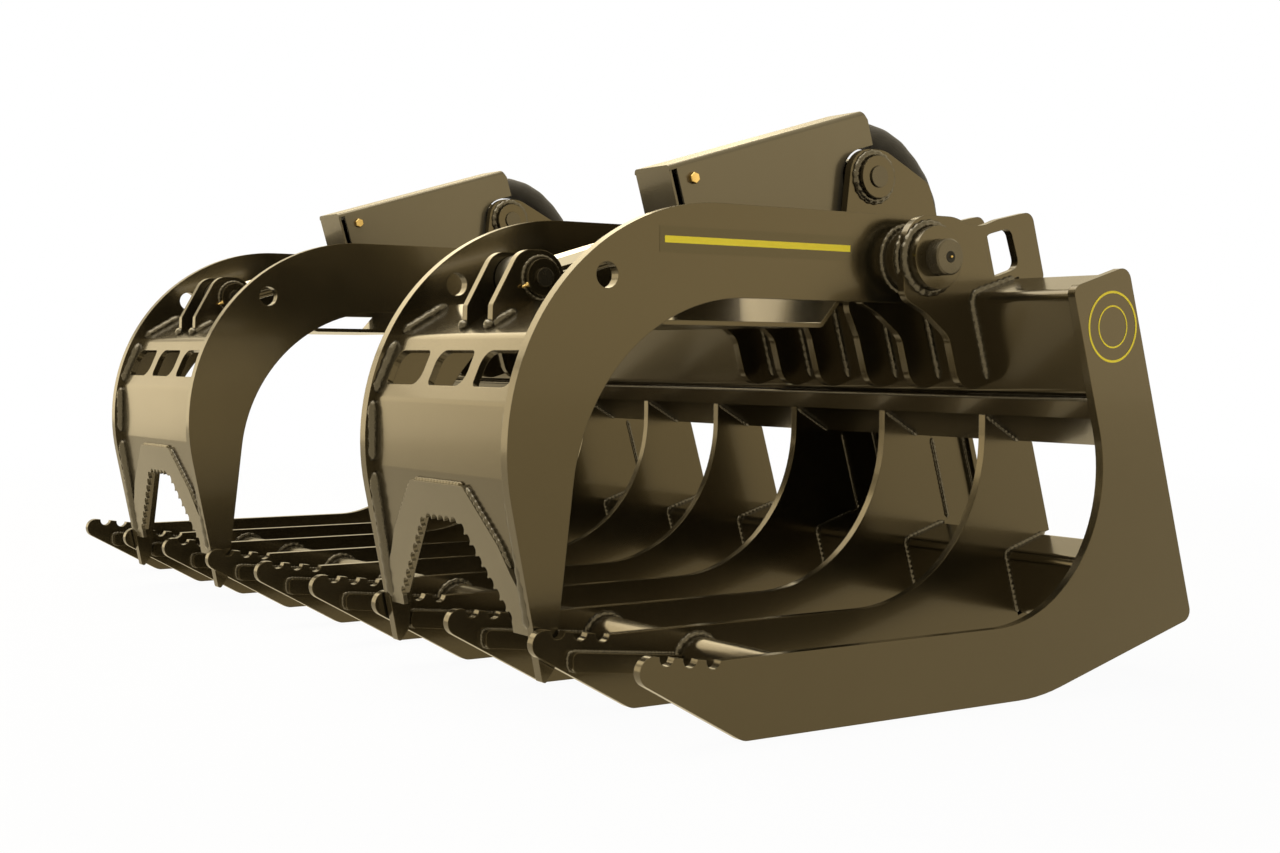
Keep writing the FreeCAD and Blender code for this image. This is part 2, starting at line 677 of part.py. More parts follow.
def make_guard():
    """Return the folded sheet guard over the barrel."""
    o = GUARD_HALF
    i = GUARD_HALF - SHEET
    fold = [(o, GUARD_LOW), (o, GUARD_TOP, 8.0), (-o, GUARD_TOP, 8.0), (-o, GUARD_LOW)]
    fold += [(-i, GUARD_LOW), (-i, GUARD_TOP - SHEET, 4.0), (i, GUARD_TOP - SHEET, 4.0), (i, GUARD_LOW)]
    shape = across(fold, GUARD_REAR, GUARD_FRONT)
    low = GUARD_TOP - SHEET - 4
    box = [(-60, GUARD_LOW - 9), (60, GUARD_LOW - 9), (60, low), (-60, low)]
    shape = shape.cut(across(box, GUARD_SIDE_FRONT, GUARD_FRONT + 10))
    nose = [(2.5 - o, 20), (o - 2.5, 20), (o - 2.5, GUARD_TOP - 3, 2.0), (2.5 - o, GUARD_TOP - 3, 2.0)]
    front = across(nose, GUARD_FRONT - SHEET, GUARD_FRONT)
    shape = shape.fuse(front.cut(turned(GUARD_SIDE_FRONT, GUARD_FRONT + 9, BARREL_RADIUS + 2.0)))
    rear = [axial(GUARD_REAR - 9, 60), axial(GUARD_REAR, 84), axial(GUARD_REAR + 8, 101), axial(-60, 101)]
    shape = shape.cut(plate(rear, 0, 120))
    r = GUARD_CUT_RADIUS
    low = GUARD_LOW - 9
    back = GUARD_REAR - 9
    notch = [axial(r, low), (*axial(r, r), r - 1), axial(back, r), axial(back, low)]
    shape = shape.cut(plate(notch, 0, 120))
    return shape.cut(bar(0, axial(*GUARD_BOLT), BOLT_RADIUS + RUNNING_FIT, 60))


def make_guard_bolts():
    """Return the two bolts that hold the guard on its bracket."""
    bolts = []
    for side in (-1, 1):
        head = bar(side * (GUARD_HALF + BOLT_HEAD / 2), axial(*GUARD_BOLT), BOLT_HEAD_RADIUS, BOLT_HEAD / 2)
        shank = bar(side * (GUARD_HALF - 6), axial(*GUARD_BOLT), BOLT_RADIUS, 7)
        bolts.append(head.fuse(shank))
    return Part.makeCompound(bolts)


def hose_route():
    """Return the corners of the hose route, from the port block to its lower end."""
    start = axial(HOSE_START, HOSE_LIFT)
    first = axial(HOSE_BEND, HOSE_LIFT)
    heading = math.atan2(-AXIS[1], -AXIS[0])
    down = -math.pi / 2 - HOSE_TUCK
    half = (heading + down) / 2
    second = add(first, (math.cos(half), math.sin(half)), HOSE_RUN)
    drop = (second[1] - HOSE_END) / math.cos(HOSE_TUCK)
    return [start, first, second, add(second, (math.cos(down), math.sin(down)), drop)]


def make_hose(x):
    """Return the sleeved hose as one solid and print its bend radii and volume."""
    route = [Vector(x, *p) for p in hose_route()]
    pieces = []
    here = route[0]
    length = 0.0
    for i in (1, 2):
        before = (route[i] - route[i - 1]).normalize()
        after = (route[i + 1] - route[i]).normalize()
        turn = before.getAngle(after)
        run = min(route[i].distanceToPoint(route[i - 1]), route[i].distanceToPoint(route[i + 1]))
        radius = 0.45 * run / math.tan(turn / 2)
        start = route[i] - before * (radius * math.tan(turn / 2))
        disc = Part.Face(Part.Wire(Part.makeCircle(HOSE_RADIUS, here, before)))
        pieces.append(disc.extrude(start - here))
        length += start.distanceToPoint(here)
        axis = before.cross(after).normalize()
        centre = start + axis.cross(before) * radius
        disc = Part.Face(Part.Wire(Part.makeCircle(HOSE_RADIUS, start, before)))
        pieces.append(disc.revolve(centre, axis, math.degrees(turn)))
        length += radius * turn
        here = route[i] + after * (radius * math.tan(turn / 2))
        print("hose bend radius", round(radius, 1), "diameters", round(radius / HOSE_RADIUS / 2, 2))
    last = (route[3] - route[2]).normalize()
    disc = Part.Face(Part.Wire(Part.makeCircle(HOSE_RADIUS, here, last)))
    pieces.append(disc.extrude(route[3] - here))
    length += route[3].distanceToPoint(here)
    hose = pieces[0].multiFuse(pieces[1:])
    print("hose volume", round(hose.Volume), "section by length", round(math.pi * HOSE_RADIUS ** 2 * length))
    return hose


def make_clamp(x):
    """Return the bracket on the back of the main tube that holds the lower end of a hose."""
    foot = hose_route()[3]
    direction = (math.sin(HOSE_TUCK), math.cos(HOSE_TUCK))
    middle = add(foot, direction, CLAMP_ABOVE_END / math.cos(HOSE_TUCK))
    start = lean(TUBE_DEPTH / 2, 0)[0]
    end = middle[0] + HOSE_RADIUS + CLAMP_NOSE
    half = HOSE_RADIUS + CLAMP_EDGE
    outline = [(-half, start), (half, start), (half, end, 16.0), (-half, end, 16.0)]
    shape = slab(outline, Vector(x, 0, middle[1]), Vector(1, 0, 0), Vector(0, 1, 0), CLAMP_THICK)
    shape = shape.cut(leaning_box(0, TUBE_DEPTH, -TUBE_HEIGHT, 2 * TUBE_HEIGHT, END_X))
    hole = Vector(x, *add(middle, direction, -2 * CLAMP_THICK))
    return shape.cut(Part.makeCylinder(HOSE_RADIUS + WELD_GAP, 4 * CLAMP_THICK, hole, Vector(0, *direction)))


def build():
    """Return every piece of the grapple by name."""
    parts = {}
    parts["left_end_plate"] = make_tine(-END_X, True)
    parts["right_end_plate"] = make_tine(END_X, True)
    for i, x in enumerate(tine_positions()):
        parts["tine_" + str(i + 2)] = make_tine(x, False)
    parts["side_bars"] = make_side_bars()
    parts["cross_pipe"] = make_pipe()
    parts["main_tube"] = make_tube(0, 0, TUBE_DEPTH, TUBE_HEIGHT)
    parts["lower_tube"] = make_tube(LOWER_B, LOWER_D, LOWER_DEPTH, LOWER_HEIGHT)
    parts["lip_plate"] = make_lip()
    gussets = [make_gusset(x) for x in tine_positions() if MOUNT_INNER < abs(x) < MOUNT_OUTER]
    parts["mount_gussets"] = Part.makeCompound(gussets)
    parts["hose_clamps"] = Part.makeCompound([make_clamp(-ARM_CENTRE), make_clamp(ARM_CENTRE)])
    for name, side in (("left", -1), ("right", 1)):
        x = side * ARM_CENTRE
        parts[name + "_mount_plate"] = make_mount(side)
        parts[name + "_outer_hinge_ears"] = make_hinge_ears(x + side * ARM_HALF)
        parts[name + "_inner_hinge_ears"] = make_hinge_ears(x - side * ARM_HALF)
        parts[name + "_cylinder_ears"] = make_cylinder_ears(x)
        parts[name + "_hinge_pins"] = make_hinge_pins(x)
        half = CYLINDER_EAR_OFFSET + PLATE / 2 + CYLINDER_BOSS_OUT + 3
        parts[name + "_cylinder_pin"] = bar(x, CYLINDER_REAR, CYLINDER_PIN_RADIUS, half)
        parts[name + "_hose"] = make_hose(x)
        arm = name + "_arm_"
        parts[arm + "outer_plate"] = make_arm_plate(x + side * ARM_HALF)
        parts[arm + "inner_plate"] = make_arm_plate(x - side * ARM_HALF)
        parts[arm + "front_panel"] = moved(make_front_panel(), x)
        parts[arm + "tooth_plate"] = moved(make_tooth_plate(), x)
        parts[arm + "lugs"] = moved(make_lugs(), x)
        parts[arm + "brace"] = moved(make_brace(), x)
        parts[arm + "hinge_bosses"] = moved(make_hinge_bosses(), x)
        half = LUG_OFFSET + PLATE / 2 + LUG_BOSS_OUT + 4
        parts[arm + "lug_pin"] = bar(x, LUG_PIN, LUG_PIN_RADIUS, half)
        parts[name + "_barrel"] = moved(make_barrel(), x)
        parts[name + "_gland"] = moved(make_gland(), x)
        parts[name + "_piston"] = moved(make_piston(), x)
        parts[name + "_rod"] = moved(make_rod(), x)
        parts[name + "_guard"] = moved(make_guard(), x)
        parts[name + "_guard_bolts"] = moved(make_guard_bolts(), x)
    return parts


def main():
    """Build every piece, centre the grapple over the origin and write the STEP files."""
    os.makedirs("parts", exist_ok=True)
    parts = build()
    low = min(shape.BoundBox.YMin for shape in parts.values())
    high = max(shape.BoundBox.YMax for shape in parts.values())
    shift = Vector(0, -(low + high) / 2, -min(shape.BoundBox.ZMin for shape in parts.values()))
    total = 0.0
    for name, shape in sorted(parts.items()):
        placed = shape.translated(shift)
        if not placed.isValid() or placed.Volume <= 0:
            print("bad shape", name)
        total += placed.Volume
        placed.exportStep("parts/" + name + ".step")
    top = max(shape.BoundBox.ZMax for shape in parts.values())
    print("pieces", len(parts), "size", round(2 * END_X + PLATE, 1), round(high - low, 1), round(top, 1))
    print("shift", round(shift.y, 4), round(shift.z, 4), "steel kg", round(total * 7.85e-6, 1))
    for name, point in (("hinge", HINGE), ("cylinder rear", CYLINDER_REAR), ("lug pin", LUG_PIN)):
        print(name, round(point[0] + shift.y, 4), round(point[1] + shift.z, 4))
    front = INNER_BACK + MOUNT_DEPTH
    face = lean(front + PANEL, 250.0)
    print("mount face", round(face[0] + shift.y, 4), round(face[1], 4), "lean", round(BACK[0], 6), round(BACK[1], 6))
    print("arm centre", ARM_CENTRE, "axis", round(AXIS[0], 6), round(AXIS[1], 6), "span", round(SPAN, 3))
    print("rod travel", round(ROD_RATIO * OPENING, 3), "barrel angle", round(math.degrees(BARREL_RATIO * OPENING), 3))


main()
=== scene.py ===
"""Looks of the root grapple: paint, weld beads, bolts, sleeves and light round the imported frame."""

import json
import logging
import math
from dataclasses import dataclass, field
from enum import Enum
from typing import Callable, ClassVar, Optional, Sequence

import bpy
from mathutils import Matrix, Vector


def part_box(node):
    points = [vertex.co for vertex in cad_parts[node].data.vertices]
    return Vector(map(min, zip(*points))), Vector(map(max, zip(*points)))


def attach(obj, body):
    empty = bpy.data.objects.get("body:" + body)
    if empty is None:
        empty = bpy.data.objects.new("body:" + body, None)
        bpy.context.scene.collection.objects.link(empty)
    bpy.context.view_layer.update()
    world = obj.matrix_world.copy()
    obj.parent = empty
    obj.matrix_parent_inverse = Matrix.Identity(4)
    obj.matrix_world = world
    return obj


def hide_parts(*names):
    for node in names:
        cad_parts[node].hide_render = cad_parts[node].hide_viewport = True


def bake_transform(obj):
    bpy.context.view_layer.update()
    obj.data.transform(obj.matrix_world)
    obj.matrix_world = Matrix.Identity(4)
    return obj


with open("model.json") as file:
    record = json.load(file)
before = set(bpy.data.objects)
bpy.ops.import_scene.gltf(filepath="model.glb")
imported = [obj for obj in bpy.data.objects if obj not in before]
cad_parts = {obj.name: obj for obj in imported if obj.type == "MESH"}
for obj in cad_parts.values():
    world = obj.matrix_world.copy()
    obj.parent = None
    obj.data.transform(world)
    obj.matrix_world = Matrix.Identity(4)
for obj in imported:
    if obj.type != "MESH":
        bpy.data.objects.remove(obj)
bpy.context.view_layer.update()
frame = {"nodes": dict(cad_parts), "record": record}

log = logging.getLogger("grapple")

Section = tuple[float, float]
MM = 0.001


# Section and sides.


class Side(Enum):
    """The two halves of the grapple and the sign of their X."""

    LEFT = -1
    RIGHT = 1

    @property
    def word(self) -> str:
        """The word that starts the names of this side's pieces."""
        return self.name.lower()


@dataclass(frozen=True)
class Layout:
    """Main sizes of the grapple in millimetres, in the section used by the CAD model.

    Section points are (y, z) with y = 0 at the tine noses and z = 0 on the ground. Points of
    the leaning back are (b, d): b runs rearward, square to it, and d runs down along it, both
    from the main tube's front top corner. Distances along X are from the grapple's middle.

    Attributes:
        plate: thickness of the frame's plates and of the lugs.
        arm_plate: thickness of the arms' side plates.
        pitch: distance from one tine to the next.
        end_x: X of the middle of an end plate.
        arm_centre: X of an arm's middle.
        arm_half: distance of a side plate's middle from its arm's middle.
        lean: lean of the back from upright, in radians.
        tube_corner: the main tube's front top corner.
        pipe: middle of the cross pipe.
        pipe_radius: its radius.
        hinge: middle of the hinge pins.
        cylinder_rear: middle of the cylinders' rear pins.
        lug_pin: middle of the lug pins.
        inner_back: b of the inner tines' rear edge.
        tube_depth: depth of the main tube.
        tube_height: its height.
        tube_round: radius of both tubes' corners.
        lower_b: b of the lower tube's front face.
        lower_size: depth and height of the lower tube.
        lower_d: d of its top face.
        mount_depth: distance from the inner tines' rear edge to the mount plates.
        gussets: X of the two gussets of a mount plate.
        ear_offset: distance of a hinge ear's middle from its side plate's middle.
        cylinder_ear_offset: distance of a cylinder ear's middle from its cylinder's middle.
        pin_half: half the length of a hinge pin.
        lug_offset: distance of a lug's middle from its arm's middle.
        chin: top and foot of the front panel's lowest facet.
    """

    plate: float = 12.7
    arm_plate: float = 15.9
    pitch: float = 215.9
    end_x: float = 987.45
    arm_centre: float = 539.75
    arm_half: float = 196.4
    lean: float = math.radians(16.5)
    tube_corner: Section = (691.0, 540.0)
    pipe: Section = (231.0, 53.0)
    pipe_radius: float = 31.75
    hinge: Section = (609.0, 589.0)
    cylinder_rear: Section = (675.0, 721.0)
    lug_pin: Section = (101.0, 553.0)
    inner_back: float = 94.8
    tube_depth: float = 101.6
    tube_height: float = 152.4
    tube_round: float = 14.0
    lower_b: float = -2.6
    lower_size: Section = (88.9, 101.6)
    lower_d: float = 392.5
    mount_depth: float = 66.7
    gussets: tuple[float, float] = (323.85, 539.75)
    ear_offset: float = 49.0
    cylinder_ear_offset: float = 55.0
    pin_half: float = 98.0
    lug_offset: float = 34.4
    chin: tuple[Section, Section] = ((-31.0, 292.0), (3.0, 100.0))

    @property
    def shift(self) -> float:
        """The Y that the section's origin has in the CAD frame, in millimetres."""
        low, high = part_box("cross_pipe")
        return (low.y + high.y) / 2 / MM - self.pipe[0]

    @property
    def tines(self) -> list[float]:
        """The X of the eight inner tines."""
        return [(i - 3.5) * self.pitch for i in range(8)]

    @property
    def arm_faces(self) -> tuple[float, float]:
        """Distances of an arm plate's inner and outer face from the arm's middle."""
        return (self.arm_half - self.arm_plate / 2, self.arm_half + self.arm_plate / 2)

    def at(self, x: float, point: Section) -> Vector:
        """Place a section point in the CAD frame.

        Args:
            x: distance from the middle of the grapple, in millimetres.
            point: the section point, in millimetres.

        Returns:
            The point in metres.
        """
        return Vector((x * MM, (point[0] + self.shift) * MM, point[1] * MM))

    def back(self, b: float, d: float) -> Section:
        """Return the section point that a point of the leaning back has.

        Args:
            b: distance behind the main tube's front top corner, in millimetres.
            d: distance below it.

        Returns:
            The section point.
        """
        s, c = math.sin(self.lean), math.cos(self.lean)
        y, z = self.tube_corner
        return (y + b * c + d * s, z + b * s - d * c)

    def axial(self, t: float, n: float) -> Section:
        """Return the section point of a place on a cylinder.

        Args:
            t: distance from the rear pin along the cylinder's axis, in millimetres.
            n: distance above that axis.

        Returns:
            The section point.
        """
        (y0, z0), (y1, z1) = self.cylinder_rear, self.lug_pin
        span = math.hypot(y1 - y0, z1 - z0)
        uy, uz = (y1 - y0) / span, (z1 - z0) / span
        return (y0 + t * uy + n * uz, z0 + t * uz - n * uy)


PLAN = Layout()


# Finishes.


class NodeTree:
    """A small helper that adds and links shader nodes."""

    def __init__(self, name: str) -> None:
        """Create a material with an empty node tree.

        Args:
            name: name of the material.
        """
        self.material = bpy.data.materials.new(name)
        self.material.use_nodes = True
        self.nodes = self.material.node_tree.nodes
        self.links = self.material.node_tree.links
        self.nodes.clear()
        self.output = self.nodes.new("ShaderNodeOutputMaterial")
        self.shader = self.nodes.new("ShaderNodeBsdfPrincipled")
        self.link(self.shader, "BSDF", self.output, "Surface")

    def add(self, kind: str, **values: object) -> bpy.types.Node:
        """Add a node and set its inputs or properties.

        Args:
            kind: the node's type name.
            **values: inputs by name with spaces as underscores, or properties.

        Returns:
            The new node.
        """
        node = self.nodes.new(kind)
        for key, value in values.items():
            label = key.replace("_", " ")
            if label in node.inputs:
                node.inputs[label].default_value = value
            else:
                setattr(node, key, value)
        return node

    def link(self, source: bpy.types.Node, out: str, target: bpy.types.Node, socket: str) -> None:
        """Link an output socket to an input socket, both by name."""
        self.links.new(source.outputs[out], target.inputs[socket])

    def noise(self, scale: float, detail: float = 3.0,
              stretch: Sequence[float] = (1, 1, 1)) -> bpy.types.Node:
        """Add a noise texture in object space.

        Args:
            scale: features per metre.
            detail: octaves.
            stretch: scale of the space along each axis.

        Returns:
            The noise node.
        """
        place = self.add("ShaderNodeTexCoord")
        mapping = self.add("ShaderNodeMapping", Scale=tuple(stretch))
        node = self.add("ShaderNodeTexNoise", Scale=scale, Detail=detail, Roughness=0.6)
        self.link(place, "Object", mapping, "Vector")
        self.link(mapping, "Vector", node, "Vector")
        return node

    def ramp(self, source: bpy.types.Node, out: str, low: Sequence[float], high: Sequence[float],
             start: float = 0.3, end: float = 0.7) -> bpy.types.Node:
        """Map a value to a colour ramp between two colours.

        Args:
            source: node that gives the value.
            out: name of its output.
            low: colour up to the start.
            high: colour from the end on.
            start: value at which the ramp starts.
            end: value at which it ends.

        Returns:
            The ramp node.
        """
        node = self.add("ShaderNodeValToRGB")
        node.color_ramp.elements[0].position = start
        node.color_ramp.elements[1].position = end
        node.color_ramp.elements[0].color = (*low, 1.0)
        node.color_ramp.elements[1].color = (*high, 1.0)
        self.link(source, out, node, "Fac")
        return node

    def map_range(self, source: bpy.types.Node, out: str, low: float, high: float) -> bpy.types.Node:
        """Map a value from between 0 and 1 to between low and high.

        Args:
            source: node that gives the value.
            out: name of its output.
            low: result at 0.
            high: result at 1.

        Returns:
            The mapping node.
        """
        node = self.add("ShaderNodeMapRange")
        node.inputs["To Min"].default_value = low
        node.inputs["To Max"].default_value = high
        self.link(source, out, node, "Value")
        return node

    def bump(self, height: bpy.types.Node, out: str, distance: float,
             strength: float = 1.0) -> bpy.types.Node:
        """Bump the shader's normal.

        Args:
            height: node that gives the height.
            out: name of its output.
            distance: relief in metres at a height of 1.
            strength: share of the bump that shows.

        Returns:
            The bump node.
        """
        node = self.add("ShaderNodeBump", Strength=strength, Distance=distance)
        self.link(height, out, node, "Height")
        self.link(node, "Normal", self.shader, "Normal")
        return node


@dataclass(frozen=True)
class Finish:
    """A procedural finish.

    Attributes:
        name: name of the material.
        dark: darker of the two base colours.
        light: lighter of the two base colours.
        rough: lowest and highest roughness.
        metal: metallic value.
        grain: scale of the colour variation, per metre.
        relief: height of the surface relief in metres.
        relief_scale: scale of the relief, per metre.
        edge: radius of the rounded edge seen by light, in metres.
        specular: strength of the reflection at normal incidence.
        tint: colour of that reflection.
        coat: weight of the clear top layer.
        coat_rough: roughness of that layer.
    """

    name: str
    dark: Sequence[float]
    light: Sequence[float]
    rough: Sequence[float]
    metal: float = 0.0
    grain: float = 6.0
    relief: float = 0.0
    relief_scale: float = 400.0
    edge: float = 0.0
    specular: float = 0.5
    tint: Sequence[float] = (1.0, 1.0, 1.0)
    coat: float = 0.0
    coat_rough: float = 0.08

    def build(self) -> bpy.types.Material:
        """Make the material.

        Returns:
            The Blender material.
        """
        tree = NodeTree(self.name)
        shader = tree.shader
        shader.inputs["Metallic"].default_value = self.metal
        shader.inputs["Specular IOR Level"].default_value = self.specular
        shader.inputs["Specular Tint"].default_value = (*self.tint, 1.0)
        shader.inputs["Coat Weight"].default_value = self.coat
        shader.inputs["Coat Roughness"].default_value = self.coat_rough
        blotch = tree.noise(self.grain, detail=4.0)
        colour = tree.ramp(blotch, "Fac", self.dark, self.light)
        tree.link(colour, "Color", shader, "Base Color")
        # The gloss varies in patches a quarter as large as those of the colour.
        gloss = tree.map_range(tree.noise(self.grain * 4, detail=5.0), "Fac", *self.rough)
        tree.link(gloss, "Result", shader, "Roughness")
        surface = shader
        if self.relief > 0:
            surface = tree.bump(tree.noise(self.relief_scale, detail=2.0), "Fac", self.relief)
        if self.edge > 0:
            bevel = tree.add("ShaderNodeBevel", samples=4, Radius=self.edge)
            tree.link(bevel, "Normal", surface, "Normal")
        return tree.material


class Paints:
    """Every finish of the grapple, built once.

    Attributes:
        eye_paint: radius of the paint round the lug pin on a rod, in metres.
    """

    eye_paint: ClassVar[float] = 0.044

    def __init__(self) -> None:
        """Build the materials."""
        self.frame = Finish("frame_paint", (0.008, 0.007, 0.004), (0.017, 0.014, 0.008), (0.17, 0.25),
                            grain=3.0, relief=0.00005, relief_scale=180.0, edge=0.0016, specular=1.0,
                            tint=(1.0, 0.82, 0.47), coat=0.3).build()
        # A lighter copy of the black frame paint for the guards: painted sheen for the reflections they
        # show.
        self.guard = Finish("guard_paint", (0.066, 0.058, 0.040), (0.092, 0.081, 0.058), (0.20, 0.28),
                            grain=3.0, relief=0.00005, relief_scale=180.0, edge=0.0012, specular=1.0,
                            tint=(1.0, 0.86, 0.56), coat=0.35).build()
        # A lighter copy of the black frame paint for the tooth plates: painted sheen for the reflections
        # they show.
        self.tooth = Finish("tooth_paint", (0.055, 0.047, 0.030), (0.078, 0.066, 0.043), (0.19, 0.27),
                            grain=12.0, relief=0.00006, relief_scale=260.0, edge=0.0012, specular=1.0,
                            tint=(1.0, 0.86, 0.56), coat=0.35).build()
        self.weld = Finish("weld_bead", (0.012, 0.011, 0.008), (0.026, 0.023, 0.016), (0.08, 0.18),
                           grain=40.0, relief=0.0011, relief_scale=260.0, specular=1.0,
                           tint=(1.0, 0.90, 0.68), coat=0.5).build()
        self.cylinder = Finish("cylinder_paint", (0.020, 0.018, 0.013), (0.028, 0.025, 0.018), (0.22, 0.32),
                               grain=6.0, relief=0.00004, relief_scale=300.0, edge=0.001).build()
        self.pin = Finish("pin_steel", (0.020, 0.018, 0.013), (0.034, 0.030, 0.021), (0.20, 0.32),
                          grain=30.0, relief=0.00005, relief_scale=500.0, edge=0.0012, specular=0.9,
                          tint=(1.0, 0.86, 0.58), coat=0.3).build()
        self.chrome = self.rod_chrome()
        self.brass = Finish("bolt_plating", (0.62, 0.44, 0.16), (0.80, 0.60, 0.26), (0.20, 0.34),
                            metal=1.0, grain=60.0, relief=0.00002, relief_scale=900.0, edge=0.0006).build()
        # Near-black finish of the discs on the pin ends: painted shade standing for the grease holes.
        self.cavity = Finish("cavity", (0.004, 0.004, 0.003), (0.010, 0.009, 0.007), (0.55, 0.75)).build()
        self.decal = Finish("decal_yellow", (0.96, 0.78, 0.02), (1.0, 0.84, 0.03), (0.30, 0.42),
                            grain=20.0, relief=0.00001, relief_scale=300.0).build()
        self.film = Finish("decal_film", (0.010, 0.009, 0.006), (0.014, 0.012, 0.008), (0.14, 0.18),
                           grain=10.0, relief=0.00002, relief_scale=120.0, specular=1.0,
                           tint=(1.0, 0.86, 0.54)).build()
        self.sleeve = self.woven()

    @staticmethod
    def rod_chrome() -> bpy.types.Material:
        """Make the chrome of the rods, with black paint over the eye at the lug pin."""
        tree = NodeTree("rod_chrome")
        place = tree.add("ShaderNodeTexCoord")
        parts = tree.add("ShaderNodeSeparateXYZ")
        tree.link(place, "Object", parts, "Vector")
        eye = PLAN.at(0.0, PLAN.lug_pin)
        squares = []
        for axis, middle in (("Y", eye.y), ("Z", eye.z)):
            offset = tree.add("ShaderNodeMath", operation="SUBTRACT")
            tree.link(parts, axis, offset, "Value")
            offset.inputs[1].default_value = middle
            square = tree.add("ShaderNodeMath", operation="POWER")
            tree.link(offset, "Value", square, "Value")
            square.inputs[1].default_value = 2.0
            squares.append(square)
        total = tree.add("ShaderNodeMath", operation="ADD")
        for i, square in enumerate(squares):
            tree.links.new(square.outputs[0], total.inputs[i])
        chromed = tree.add("ShaderNodeMath", operation="GREATER_THAN")
        tree.link(total, "Value", chromed, "Value")
        chromed.inputs[1].default_value = Paints.eye_paint ** 2
        paint, chrome = (0.024, 0.021, 0.014), (0.78, 0.77, 0.74)
        colour = tree.ramp(chromed, "Value", paint, chrome, start=0.49, end=0.51)
        tree.link(colour, "Color", tree.shader, "Base Color")
        tree.link(chromed, "Value", tree.shader, "Metallic")
        gloss = tree.map_range(chromed, "Value", low=0.30, high=0.07)
        tree.link(gloss, "Result", tree.shader, "Roughness")
        tree.bump(tree.noise(700.0, detail=2.0, stretch=(1.0, 8.0, 8.0)), "Fac", distance=0.00001)
        return tree.material

    @staticmethod
    def woven() -> bpy.types.Material:
        """Make the black woven sleeve of the hoses."""
        tree = NodeTree("hose_sleeve")
        shader = tree.shader
        blotch = tree.noise(14.0, detail=4.0)
        colour = tree.ramp(blotch, "Fac", (0.016, 0.014, 0.010), (0.040, 0.035, 0.026))
        tree.link(colour, "Color", shader, "Base Color")
        shader.inputs["Roughness"].default_value = 0.62
        shader.inputs["Sheen Weight"].default_value = 0.25
        place = tree.add("ShaderNodeTexCoord")
        weave = tree.add("ShaderNodeMath", operation="MAXIMUM")
        for i, way in enumerate("XZ"):
            threads = tree.add("ShaderNodeTexWave", Scale=320.0, Distortion=0.6, bands_direction=way)
            tree.link(place, "Object", threads, "Vector")
            tree.links.new(threads.outputs["Fac"], weave.inputs[i])
        tree.bump(weave, "Value", distance=0.0004, strength=0.7)
        return tree.material


# Meshes.


